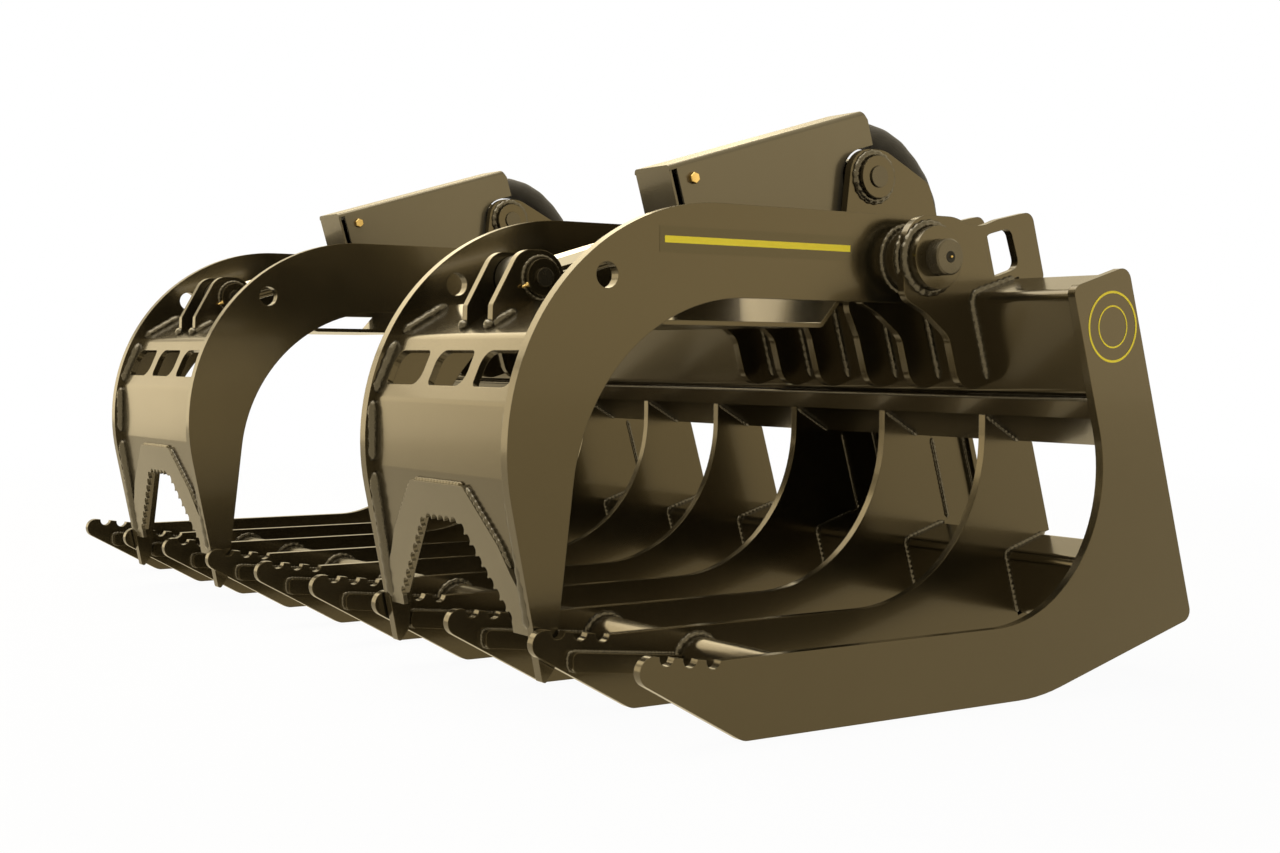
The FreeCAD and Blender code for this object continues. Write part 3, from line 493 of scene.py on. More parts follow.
class Shaper:
    """Makes meshes in the CAD frame and lets them ride on a CAD body.

    Attributes:
        paints: every finish.
        bead_sides: points round a weld bead.
        bead_step: distance between a bead's mesh rings, as a share of the bead's radius.
        ripple_rings: mesh rings from one ripple to the next.
        thin_bead: radius in millimetres under which a bead has the higher ripples.
        thin_ripple: height of a thin bead's ripples, as a share of its radius.
        thick_ripple: height of a thick bead's ripples.
        drift: slow change of a bead's radius, as a share of it.
    """

    bead_sides: ClassVar[int] = 9
    bead_step: ClassVar[float] = 0.5
    ripple_rings: ClassVar[int] = 4
    thin_bead: ClassVar[float] = 8.0
    thin_ripple: ClassVar[float] = 0.12
    thick_ripple: ClassVar[float] = 0.06
    drift: ClassVar[float] = 0.03

    def __init__(self, paints: Paints) -> None:
        """Keep the finishes.

        Args:
            paints: every finish.
        """
        self.paints = paints

    @staticmethod
    def mesh(name: str, points: Sequence[Vector], faces: Sequence[Sequence[int]],
             material: bpy.types.Material, body: Optional[str], smooth: bool = True) -> bpy.types.Object:
        """Make a mesh object from points and faces.

        Args:
            name: name of the object.
            points: vertices in metres.
            faces: vertex indices of each face.
            material: its finish.
            body: the CAD body it rides on, or none.
            smooth: whether the faces are shaded smooth.

        Returns:
            The object.
        """
        data = bpy.data.meshes.new(name)
        data.from_pydata([tuple(p) for p in points], [], [tuple(f) for f in faces])
        data.materials.append(material)
        if smooth:
            data.polygons.foreach_set("use_smooth", [True] * len(data.polygons))
        data.update()
        obj = bpy.data.objects.new(name, data)
        bpy.context.scene.collection.objects.link(obj)
        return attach(obj, body) if body else obj

    @staticmethod
    def resample(path: Sequence[Vector], step: float, closed: bool) -> list[Vector]:
        """Space points evenly along a path.

        Args:
            path: corners of the path.
            step: wanted distance between points.
            closed: whether the path returns to its start.

        Returns:
            The evenly spaced points.
        """
        corners = list(path) + ([path[0]] if closed else [])
        lengths = [(b - a).length for a, b in zip(corners, corners[1:])]
        total = sum(lengths)
        count = max(2, round(total / step))
        result = []
        leg, walked = 0, 0.0
        for i in range(count + (0 if closed else 1)):
            goal = total * i / count
            while leg < len(lengths) - 1 and walked + lengths[leg] < goal - 1e-9:
                walked += lengths[leg]
                leg += 1
            f = (goal - walked) / lengths[leg] if lengths[leg] else 0.0
            result.append(corners[leg].lerp(corners[leg + 1], min(max(f, 0.0), 1.0)))
        return result

    def sweep(self, name: str, path: Sequence[Vector], radius: Callable[[int, float], float],
              material: bpy.types.Material, body: Optional[str], closed: bool,
              sides: int) -> bpy.types.Object:
        """Sweep a round section along a path.

        Args:
            name: name of the object.
            path: points along the middle.
            radius: section radius in metres by point index and angle.
            material: its finish.
            body: the CAD body it rides on, or none.
            closed: whether the path is a loop.
            sides: points round the section.

        Returns:
            The object.
        """
        points: list[Vector] = []
        count = len(path)
        normal: Optional[Vector] = None
        for i, here in enumerate(path):
            before = path[i - 1] if i or closed else here
            after = path[(i + 1) % count] if i < count - 1 or closed else here
            tangent = (after - before).normalized()
            if normal is None:
                normal = tangent.orthogonal().normalized()
            normal = (normal - tangent * normal.dot(tangent)).normalized()
            across = tangent.cross(normal)
            for k in range(sides):
                angle = 2 * math.pi * k / sides
                out = normal * math.cos(angle) + across * math.sin(angle)
                points.append(here + out * radius(i, angle))
        faces: list[list[int]] = []
        for i in range(count if closed else count - 1):
            a, b = i * sides, ((i + 1) % count) * sides
            for k in range(sides):
                m = (k + 1) % sides
                faces.append([a + k, a + m, b + m, b + k])
        if not closed:
            faces.append(list(range(sides))[::-1])
            faces.append([(count - 1) * sides + k for k in range(sides)])
        return self.mesh(name, points, faces, material, body)

    def bead(self, name: str, corners: Sequence[Vector], size: float, body: str, closed: bool = False,
             material: Optional[bpy.types.Material] = None) -> None:
        """Lay a rippled weld bead along a path.

        Args:
            name: name of the object.
            corners: corners of the path, in metres.
            size: radius of the bead in millimetres.
            body: the CAD body it rides on.
            closed: whether the bead runs round a loop.
            material: its finish, the bead's own when left out.
        """
        height = self.thin_ripple if size < self.thin_bead else self.thick_ripple
        path = self.resample(corners, size * MM * self.bead_step, closed)
        count = len(path)

        def radius(i: int, angle: float) -> float:
            """Swell the bead once in every ripple and taper its ends over two rings.

            Args:
                i: number of the mesh ring.
                angle: angle round the bead, which its radius doesn't depend on.

            Returns:
                The radius in metres.
            """
            wave = height * math.cos(2 * math.pi * i / self.ripple_rings)
            ripple = 1.0 + wave + self.drift * math.sin(i * 0.31)
            taper = 1.0 if closed else min(1.0, 0.45 + 0.28 * min(i, count - 1 - i))
            return size * MM * ripple * taper

        self.sweep(name, path, radius, material or self.paints.weld, body, closed, self.bead_sides)

    def ring(self, name: str, x: float, centre: Section, radius: float, size: float,
             body: str) -> None:
        """Lay a weld bead in a ring about an X axis.

        Args:
            name: name of the object.
            x: place of the ring along X, in millimetres.
            centre: its centre in the section.
            radius: its radius in millimetres.
            size: radius of the bead in millimetres.
            body: the CAD body it rides on.
        """
        count = 48
        y, z = centre
        turns = [2 * math.pi * i / count for i in range(count)]
        loop = [PLAN.at(x, (y + radius * math.cos(a), z + radius * math.sin(a))) for a in turns]
        self.bead(name, loop, size, body, True)

    def line(self, name: str, x: float, points: Sequence[Section], size: float, body: str) -> None:
        """Lay a weld bead along section points in one plane of X.

        Args:
            name: name of the object.
            x: the plane, in millimetres.
            points: section points.
            size: radius of the bead in millimetres.
            body: the CAD body it rides on.
        """
        self.bead(name, [PLAN.at(x, p) for p in points], size, body)

    def turned(self, name: str, base: Vector, axis: Vector, profile: Sequence[tuple[float, float]],
               material: bpy.types.Material, body: str, sides: int,
               flat: bool = False) -> bpy.types.Object:
        """Turn a profile of (distance along the axis, radius) pairs about an axis.

        Args:
            name: name of the object.
            base: the start of the axis, in metres.
            axis: its direction.
            profile: distances and radii in millimetres.
            material: its finish.
            body: the CAD body it rides on.
            sides: points round the axis.
            flat: whether the faces stay flat, as on a hexagon.

        Returns:
            The object.
        """
        n = axis.normalized()
        u = n.orthogonal().normalized()
        v = n.cross(u)
        points = []
        for along, radius in profile:
            for k in range(sides):
                a = 2 * math.pi * k / sides
                points.append(base + (n * along + (u * math.cos(a) + v * math.sin(a)) * radius) * MM)
        faces = []
        for i in range(len(profile) - 1):
            for k in range(sides):
                m = (k + 1) % sides
                faces.append([i * sides + k, i * sides + m, (i + 1) * sides + m, (i + 1) * sides + k])
        faces.append(list(range(sides))[::-1])
        faces.append([(len(profile) - 1) * sides + k for k in range(sides)])
        return self.mesh(name, points, faces, material, body, not flat)


# Pieces.


@dataclass
class RootFrame:
    """Weld beads of the welded root frame.

    Attributes:
        shaper: makes the meshes.
        bead: radius of an ordinary bead in millimetres.
        thin_bead: radius of the beads of the toe bars and of the long lip seam.
        tube_bead: radius of the beads round the tubes' ends.
        foot_bead: radius of the beads that hold the ears on the main tube.
        pipe_bead: radius of the beads round the cross pipe.
        pipe_gap: distance of such a bead's middle from the pipe.
        boss_ring: radius and bead radius of the rings round the cylinder ears' bosses.
        collar_ring: radius of the rings round the hinge ears' collars.
        collar_beads: bead radii of those rings, away from the ear's arm plate and towards it.
        body: the CAD body that the beads ride on.
    """

    shaper: Shaper
    bead: float = 4.2
    thin_bead: float = 2.6
    tube_bead: float = 5.0
    foot_bead: float = 6.5
    pipe_bead: float = 5.5
    pipe_gap: float = 2.0
    boss_ring: tuple[float, float] = (35.5, 6.0)
    collar_ring: float = 47.5
    collar_beads: tuple[float, float] = (6.2, 5.6)
    body: str = "frame"

    def build(self) -> None:
        """Lay every bead of the frame."""
        for i, x in enumerate(PLAN.tines):
            for side in (-1, 1):
                self.tine(f"tine_{i + 2}_{'r' if side > 0 else 'l'}", x + side * PLAN.plate / 2)
        for side in Side:
            self.end_plate(side)
        self.lip()
        for side in Side:
            self.ears(side)
            self.mount(side)

    def toe_bar(self, name: str, x: float) -> None:
        """Lay the bead round a toe bar on one face of a tine or end plate.

        Args:
            name: name of the face.
            x: its X in millimetres.
        """
        rim = [(198.0, 64.5), (42.0, 81.0), (34.5, 79.5), (32.0, 74.0)]
        rim += [(32.0, 64.0), (35.0, 58.2), (46.0, 55.0)]
        self.shaper.line(f"weld_bar_{name}", x, rim, self.thin_bead, self.body)

    def pipe(self, name: str, x: float) -> None:
        """Lay the ring where the cross pipe meets one face of a tine or end plate."""
        radius = PLAN.pipe_radius + self.pipe_gap
        self.shaper.ring(f"weld_pipe_{name}", x, PLAN.pipe, radius, self.pipe_bead, self.body)

    def tine(self, name: str, x: float) -> None:
        """Lay the beads on one face of an inner tine.

        Args:
            name: name of the face.
            x: its X in millimetres.
        """
        self.toe_bar(name, x)
        lip_seam = [(757.0, 364.5), (822.0, 327.5)]
        self.shaper.line(f"weld_lip_{name}", x, lip_seam, self.bead, self.body)
        b, d = PLAN.lower_b, PLAN.lower_d
        corner, along, down = 5.0, 86.0, 96.0
        tube_seam = [(b + along, d), (b + corner, d), (b, d + corner), (b, d + down)]
        corners = [PLAN.back(*p) for p in tube_seam]
        self.shaper.line(f"weld_tube_{name}", x, corners, self.bead, self.body)
        self.pipe(name, x)

    def end_plate(self, side: Side) -> None:
        """Lay the beads on the inner face of one end plate.

        Args:
            side: which end plate.
        """
        inner = side.value * (PLAN.end_x - PLAN.plate / 2)
        name = f"{side.word}_end"
        self.toe_bar(name, inner)
        self.pipe(name, inner)
        tubes = (("main", 0.0, 0.0, PLAN.tube_depth, PLAN.tube_height),
                 ("lower", PLAN.lower_b, PLAN.lower_d, *PLAN.lower_size))
        for label, b, d, w, h in tubes:
            corners = [PLAN.at(inner, PLAN.back(*p)) for p in self.tube_loop(b, d, w, h)]
            self.shaper.bead(f"weld_{label}_{name}", corners, self.tube_bead, self.body, True)

    @staticmethod
    def tube_loop(b: float, d: float, w: float, h: float) -> list[Section]:
        """Return the rounded outline of a tube as points of the leaning back.

        Args:
            b: distance of the tube's front face behind the main tube's.
            d: distance of its top below the main tube's.
            w: depth of the tube.
            h: its height.

        Returns:
            The outline, four points to a corner.
        """
        r = PLAN.tube_round
        loop = []
        centres = ((b + r, d + r), (b + r, d + h - r), (b + w - r, d + h - r), (b + w - r, d + r))
        for i, (cb, cd) in enumerate(centres):
            for k in range(4):
                a = math.radians(-90 - 90 * i - 30 * k)
                loop.append((cb + r * math.cos(a), cd + r * math.sin(a)))
        return loop

    def lip(self) -> None:
        """Lay the long bead between the lip plate and the main tube."""
        point = PLAN.back(-1.0, PLAN.tube_height)
        half = PLAN.end_x - PLAN.plate
        corners = [PLAN.at(-half, point), PLAN.at(half, point)]
        self.shaper.bead("weld_lip_front", corners, self.thin_bead, self.body)

    def ears(self, side: Side) -> None:
        """Lay the beads of the hinge ears and cylinder ears of one arm.

        Args:
            side: which arm.
        """
        centre = side.value * PLAN.arm_centre
        plates = []
        for arm in (-1, 1):
            for ear in (-1, 1):
                x = centre + arm * PLAN.arm_half + ear * PLAN.ear_offset
                name = f"{side.word}_h{arm + 1}{ear + 1}"
                plates.append((x, name))
                self.collar(x, ear, name)
        for ear in (-1, 1):
            x = centre + ear * PLAN.cylinder_ear_offset
            name = f"{side.word}_c{ear + 1}"
            plates.append((x, name))
            face = x + ear * PLAN.plate / 2
            self.shaper.ring(f"weld_boss_{name}", face, PLAN.cylinder_rear, *self.boss_ring, self.body)
        foot = [PLAN.back(*p) for p in self.foot_seam()]
        for x, name in plates:
            for face in (-1, 1):
                at = x + face * PLAN.plate / 2
                tag = f"{name}_{'r' if face > 0 else 'l'}"
                self.shaper.line(f"weld_foot_{tag}", at, foot, self.foot_bead, self.body)

    @staticmethod
    def foot_seam() -> list[Section]:
        """Return an ear's seam over the main tube's rounded corner.

        Returns:
            Points of the leaning back, to a tenth of a millimetre on the corner.
        """
        r, down, along = PLAN.tube_round, 126.0, 90.0
        turns = [math.radians(22.5 * k) for k in (1, 2, 3)]
        corner = [(round(r - r * math.cos(a), 1), round(r - r * math.sin(a), 1)) for a in turns]
        return [(0.0, down), (0.0, r), *corner, (r, 0.0), (along, 0.0)]

    def collar(self, x: float, outward: int, name: str) -> None:
        """Lay the beads round the collars of a hinge ear.

        Args:
            x: the ear's X in millimetres.
            outward: sign of the way from the ear's arm plate to the ear.
            name: name of the ear.
        """
        for face, size in zip((outward, -outward), self.collar_beads):
            at = x + face * PLAN.plate / 2 + face
            ring = f"weld_collar_{name}_{face + 1}"
            self.shaper.ring(ring, at, PLAN.hinge, self.collar_ring, size, self.body)

    def mount(self, side: Side) -> None:
        """Lay the beads of the gussets between one mount plate and the frame.

        Args:
            side: which mount plate.
        """
        # Each seam has a label, its b, its first and last d and its bead's radius.
        seams = (("mount", PLAN.inner_back + PLAN.mount_depth, 62.0, 484.0, 4.0),
                 ("spine", PLAN.inner_back, 256.0, 390.0, 3.8),
                 ("head", PLAN.tube_depth, 62.0, 146.0, 3.8))
        for i, x in enumerate(PLAN.gussets):
            for face in (-1, 1):
                at = side.value * x + face * PLAN.plate / 2
                for label, b, top, foot, size in seams:
                    name = f"weld_{label}_{side.word}_{i}_{face + 1}"
                    self.shaper.line(name, at, [PLAN.back(b, top), PLAN.back(b, foot)], size, self.body)


@dataclass
class GrappleArm:
    """Weld beads and small fittings of one arm.

    Attributes:
        shaper: makes the meshes.
        side: which arm.
        bead: radius of the panel and lug beads in millimetres.
        low_bead: radius of the panel's lowest beads.
        toe_bead: radius of the beads across the lugs' toes.
        tooth_beads: radii of the beads at the tooth plate's top and sides.
        boss_ring: radius and bead radius of the rings round the lugs' bosses.
        hinge_ring: radius and bead radius of the rings round the hinge bosses.
        brace_bead: radius of the beads at the brace's ends.
    """

    shaper: Shaper
    side: Side
    bead: float = 9.0
    low_bead: float = 10.5
    toe_bead: float = 8.5
    tooth_beads: tuple[float, float] = (4.2, 4.6)
    boss_ring: tuple[float, float] = (27.5, 3.4)
    hinge_ring: tuple[float, float] = (46.0, 5.0)
    brace_bead: float = 4.0

    @property
    def body(self) -> str:
        """The CAD body of the arm."""
        return f"{self.side.word}_arm"

    @property
    def centre(self) -> float:
        """The X of the arm's middle, in millimetres."""
        return self.side.value * PLAN.arm_centre

    def build(self) -> None:
        """Lay the beads and add the fittings."""
        self.panel()
        self.tooth_plate()
        self.lugs()
        self.hinges()
        self.brace()

    def panel(self) -> None:
        """Lay the broken beads between the front panel and the side plates."""
        runs = [[(84.0, 520.0), (14.0, 480.0)], [(3.0, 468.0), (-29.0, 396.0)],
                [(-33.0, 384.0), (-33.0, 300.0)], [(-31.0, 284.0), (-18.0, 210.0), (1.0, 104.0)]]
        for face in (-1, 1):
            x = self.centre + face * PLAN.arm_faces[0]
            for i, run in enumerate(runs):
                name = f"weld_panel_{self.side.word}_{face + 1}_{i}"
                size = self.low_bead if run is runs[-1] else self.bead
                self.shaper.line(name, x, run, size, self.body)

    def on_chin(self, x: float, s: float, lift: float) -> Vector:
        """Place a point on the lowest facet of the panel.

        Args:
            x: distance from the arm's middle in millimetres.
            s: distance down the facet.
            lift: height above the panel.

        Returns:
            The point in metres.
        """
        (y0, z0), (y1, z1) = PLAN.chin
        length = math.hypot(y1 - y0, z1 - z0)
        uy, uz = (y1 - y0) / length, (z1 - z0) / length
        return PLAN.at(self.centre + x, (y0 + s * uy + lift * uz, z0 + s * uz - lift * uy))

    def tooth_plate(self) -> None:
        """Lay the beads round the plate that carries the teeth."""
        name = f"weld_tooth_{self.side.word}"
        top_size, side_size = self.tooth_beads
        top = [self.on_chin(x, 11.0, 1.0) for x in (-66.0, 66.0)]
        self.shaper.bead(f"{name}_top", top, top_size, self.body, material=self.shaper.paints.frame)
        edge = ((76.0, 14.5), (143.0, 84.0), (160.0, 112.0))
        for face in (-1, 1):
            slope = [self.on_chin(face * x, s, 1.0) for x, s in edge]
            self.shaper.bead(f"{name}_{face + 1}", slope, side_size, self.body)

    def lugs(self) -> None:
        """Lay the beads of the lugs and set a grease nipple on each boss."""
        side_seam, toe_point, toe_half = [(29.0, 488.0), (64.0, 507.9)], (25.5, 488.5), 1.4
        for lug in (-1, 1):
            middle = self.centre + lug * PLAN.lug_offset
            outer = self.centre + lug * (PLAN.lug_offset + PLAN.plate / 2)
            tag = f"{self.side.word}_{lug + 1}"
            self.shaper.line(f"weld_lug_{tag}", outer, side_seam, self.bead, self.body)
            toe = [PLAN.at(middle + k * PLAN.plate / 2, toe_point) for k in (-toe_half, toe_half)]
            self.shaper.bead(f"weld_toe_{tag}", toe, self.toe_bead, self.body)
            boss = f"weld_boss_{self.side.word}_lug{lug + 1}"
            self.shaper.ring(boss, outer, PLAN.lug_pin, *self.boss_ring, self.body)
        y, z = PLAN.lug_pin
        ahead, under, out = 22.6, 10.0, 46.0
        forward = Vector((0, -0.91, -0.41))
        for lug in (-1, 1):
            base = PLAN.at(self.centre + lug * out, (y - ahead, z - under))
            nipple(self.shaper, f"nipple_{self.side.word}_{lug + 1}", base, forward, self.body)

    def hinges(self) -> None:
        """Lay the beads where the hinge bosses pass through the side plates."""
        for plate in (-1, 1):
            for face in (-1, 1):
                x = self.centre + plate * PLAN.arm_half + face * (PLAN.arm_plate / 2)
                name = f"weld_hinge_{self.side.word}_{plate + 1}_{face + 1}"
                self.shaper.ring(name, x, PLAN.hinge, *self.hinge_ring, self.body)

    def brace(self) -> None:
        """Lay the beads at the ends of the brace."""
        runs = ([(164.0, 523.0), (187.0, 498.0)], [(503.5, 529.0), (512.0, 538.5)])
        for face in (-1, 1):
            x = self.centre + face * PLAN.arm_faces[0]
            for i, run in enumerate(runs):
                name = f"weld_brace_{self.side.word}_{face + 1}_{i}"
                self.shaper.line(name, x, run, self.brace_bead, self.body)


def nipple(shaper: Shaper, name: str, base: Vector, axis: Vector, body: str) -> None:
    """Set a small brass grease nipple.

    Args:
        shaper: makes the meshes.
        name: name of the object.
        base: its foot, in metres.
        axis: the way it points.
        body: the CAD body it rides on.
    """
    profile = [(-2.0, 3.6), (2.5, 3.6), (2.6, 2.6), (6.0, 2.4), (7.0, 1.7), (8.6, 2.1), (9.8, 1.2)]
    shaper.turned(name, base, axis, profile, shaper.paints.brass, body, 12)


@dataclass
class Cylinder:
    """Fittings, bolts and hose of one hydraulic cylinder.

    Attributes:
        shaper: makes the meshes.
        side: which cylinder.
        bolt_flats: width across the bolt heads in millimetres.
        bolt: distances of the bolts along the cylinder's axis and above it.
        bolt_seat: distance of the bolt heads' seats from the cylinder's middle.
        hose_radius: radius of the hose over its sleeve.
        hose_lift: height of the hose's first length above the cylinder's axis.
        hose_start: distance of its start along that axis.
        hose_bend: distance of the first corner of its route along that axis.
        hose_run: distance from there to the second corner.
        hose_tuck: lean of its last length from upright, in radians, its foot further forward.
        hose_end: height of its lower end above the ground.
        arc_share: part of the shorter run that an arc of the route takes up.
        end_rings: distances of the beads on the barrel's closed end along the axis.
        end_ring: radius of those rings.
        end_bead: radius of their beads.
    """

    shaper: Shaper
    side: Side
    bolt_flats: float = 14.5
    bolt: tuple[float, float] = (316.6, 71.8)
    bolt_seat: float = 43.4
    hose_radius: float = 21.0
    hose_lift: float = 66.0
    hose_start: float = 100.0
    hose_bend: float = -78.0
    hose_run: float = 160.6
    hose_tuck: float = math.radians(10.0)
    hose_end: float = 536.5
    arc_share: float = 0.45
    end_rings: tuple[float, float] = (40.0, 60.0)
    end_ring: float = 37.0
    end_bead: float = 2.4

    @property
    def body(self) -> str:
        """The CAD body of the barrel."""
        return f"{self.side.word}_cylinder"

    @property
    def centre(self) -> float:
        """The X of the cylinder's middle, in millimetres."""
        return self.side.value * PLAN.arm_centre

    def build(self) -> None:
        """Add the bolts, the hose sleeve and the barrel's beads."""
        self.bolts()
        self.sleeve()
        self.barrel_beads()

    def bolts(self) -> None:
        """Replace the plain bolts of the guard with hexagon heads."""
        point = PLAN.axial(*self.bolt)
        r = self.bolt_flats / math.sqrt(3)
        hexagon = [(0.0, r * 0.97), (0.5, r), (5.6, r), (6.4, r * 0.9)]
        for face in (-1, 1):
            base = PLAN.at(self.centre + face * self.bolt_seat, point)
            axis = Vector((face, 0, 0))
            name = f"bolt_{self.side.word}_guard_{face + 1}"
            brass = self.shaper.paints.brass
            self.shaper.turned(name, base, axis, hexagon, brass, self.body, 6, True)
        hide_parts(f"{self.side.word}_guard_bolts")

    def route(self) -> list[Section]:
        """Return the corners of the hose's route.

        Returns:
            Section points from the barrel's port to the lower end.
        """
        start = PLAN.axial(self.hose_start, self.hose_lift)
        first = PLAN.axial(self.hose_bend, self.hose_lift)
        heading = math.atan2(first[1] - start[1], first[0] - start[0])
        down = -math.pi / 2 - self.hose_tuck
        half = (heading + down) / 2
        second = (first[0] + self.hose_run * math.cos(half), first[1] + self.hose_run * math.sin(half))
        drop = (second[1] - self.hose_end) / math.cos(self.hose_tuck)
        end = (second[0] + drop * math.cos(down), second[1] + drop * math.sin(down))
        return [start, first, second, end]

    def sleeve(self) -> None:
        """Make the creased sleeve that stands for the plain hose."""
        corners = [PLAN.at(self.centre, p) for p in self.route()]
        path: list[Vector] = [corners[0]]
        steps = 12
        for i in (1, 2):
            before = (corners[i] - corners[i - 1]).normalized()
            after = (corners[i + 1] - corners[i]).normalized()
            turn = before.angle(after)
            run = min((corners[i] - corners[i - 1]).length, (corners[i + 1] - corners[i]).length)
            cut = self.arc_share * run
            radius = cut / math.tan(turn / 2)
            inward = (after - before * before.dot(after)).normalized()
            middle = corners[i] - before * cut + inward * radius
            start = corners[i] - before * cut - middle
            axis = before.cross(after).normalized()
            turns = [Matrix.Rotation(turn * k / steps, 3, axis) for k in range(steps + 1)]
            path += [middle + rotation @ start for rotation in turns]
        path.append(corners[3])
        ring_gap = 0.003
        points = self.shaper.resample(path, ring_gap, False)

        def radius_at(i: int, angle: float) -> float:
            """Crease the cloth a little along and round the sleeve.

            Args:
                i: number of the mesh ring.
                angle: angle round the sleeve.

            Returns:
                The radius in metres.
            """
            creases = 0.016 * math.sin(i * 0.55 + 2.0 * math.sin(angle))
            twist = 0.012 * math.sin(3 * angle + i * 0.11)
            return self.hose_radius * MM * (0.975 + (creases + twist))

        name = f"{self.side.word}_hose_sleeve"
        cloth = self.shaper.paints.sleeve
        sleeve = self.shaper.sweep(name, points, radius_at, cloth, None, False, 28)
        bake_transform(sleeve)
        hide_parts(f"{self.side.word}_hose")

    def barrel_beads(self) -> None:
        """Lay the beads round the closed end of the barrel."""
        count = 40
        for i, t in enumerate(self.end_rings):
            loop = []
            for k in range(count):
                a = 2 * math.pi * k / count
                point = PLAN.axial(t, self.end_ring * math.sin(a))
                loop.append(PLAN.at(self.centre + self.end_ring * math.cos(a), point))
            self.shaper.bead(f"weld_barrel_{self.side.word}_{i}", loop, self.end_bead, self.body, True)


@dataclass
class Pins:
    """Near-black discs of painted shade standing for grease holes, and nipples, in the ends of the hinge
    pins.

    Attributes:
        shaper: makes the meshes.
        sink: depth of the nipple's foot below the pin's end, in metres.
        body: the CAD body that they ride on.
    """

    shaper: Shaper
    sink: float = 0.006
    body: str = "frame"

    def build(self) -> None:
        """Add a near-black disc of painted shade, standing for a grease hole, and a nipple to each end of a
        hinge pin.
        """
        # No hole is cut: the disc on each pin end is painted shade in the hole's place.
        dark = self.shaper.paints.cavity
        rim = [(0.0, 8.2), (0.5, 8.0), (0.6, 6.6), (0.35, 6.2)]
        for side in Side:
            for plate in (-1, 1):
                for face in (-1, 1):
                    middle = side.value * PLAN.arm_centre + plate * PLAN.arm_half
                    base = PLAN.at(middle + face * PLAN.pin_half, PLAN.hinge)
                    name = f"{side.word}_{plate + 1}_{face + 1}"
                    axis = Vector((face, 0, 0))
                    self.shaper.turned(f"pin_hole_{name}", base, axis, rim, dark, self.body, 24)
                    nipple(self.shaper, f"pin_nipple_{name}", base - axis * self.sink, axis, self.body)


@dataclass
class Badges:
    """Plain stickers on the end plates and the arms.

    Attributes:
        shaper: makes the meshes.
        lift: height of a sticker above its plate, in metres.
        stripe_lift: further height of the stripe above its film.
        ring_centre: section point of the rings on an end plate.
        strip_ends: section points of the ends of the film on an arm.
        body: the CAD body that the rings ride on.
    """

    shaper: Shaper
    lift: float = 0.0003
    stripe_lift: float = 0.0002
    ring_centre: Section = (757.5, 493.0)
    strip_ends: tuple[Section, Section] = ((180.0, 600.0), (512.0, 600.0))
    body: str = "frame"

    def build(self) -> None:
        """Add the blank ring on each end plate and the blank strip on each arm."""
        for side in Side:
            self.ring(side)
            self.strip(side)

    def sheet(self, name: str, points: Sequence[Vector], out: Vector, faces: Sequence[Sequence[int]],
              material: bpy.types.Material, body: str) -> None:
        """Make a very thin sticker.

        Args:
            name: name of the object.
            points: its corners on the plate, in metres.
            out: direction away from the plate.
            faces: vertex indices of each face.
            material: its finish.
            body: the CAD body it rides on.
        """
        lifted = [p + out * self.lift for p in points]
        obj = self.shaper.mesh(name, lifted, faces, material, body, False)
        obj.visible_shadow = False

    def ring(self, side: Side) -> None:
        """Put two plain yellow rings on an end plate.

        Args:
            side: which end plate.
        """
        x = side.value * (PLAN.end_x + PLAN.plate / 2)
        out = Vector((side.value, 0, 0))
        y, z = self.ring_centre
        count = 96
        for label, *radii in (("outer", 45.5, 48.7), ("inner", 27.0, 29.2)):
            points = []
            for r in radii:
                for k in range(count):
                    a = 2 * math.pi * k / count
                    points.append(PLAN.at(x, (y + r * math.cos(a), z + r * math.sin(a))))
            faces = [[k, (k + 1) % count, count + (k + 1) % count, count + k] for k in range(count)]
            if side is Side.LEFT:
                faces = [f[::-1] for f in faces]
            name = f"badge_{label}_{side.word}"
            self.sheet(name, points, out, faces, self.shaper.paints.decal, self.body)

    def strip(self, side: Side) -> None:
        """Put a plain film with a yellow stripe on the outer plate of an arm.

        Args:
            side: which arm.
        """
        x = side.value * (PLAN.arm_centre + PLAN.arm_faces[1])
        out = Vector((side.value, 0, 0))
        faces = [[0, 1, 2, 3] if side is Side.RIGHT else [3, 2, 1, 0]]
        (y0, z0), (y1, z1) = self.strip_ends
        paints = self.shaper.paints
        # Each layer has a label, half its width, its inset, its height and its finish.
        layers = (("film", 17.0, 0.0, 0.0, paints.film),
                  ("stripe", 4.5, 8.0, self.stripe_lift, paints.decal))
        for label, half, inset, height, material in layers:
            corners = [(y0 + inset, z0 - half), (y1 - inset, z1 - half),
                       (y1 - inset, z1 + half), (y0 + inset, z0 + half)]
            points = [PLAN.at(x, p) + out * height for p in corners]
            self.sheet(f"strip_{label}_{side.word}", points, out, faces, material, f"{side.word}_arm")


# Studio.


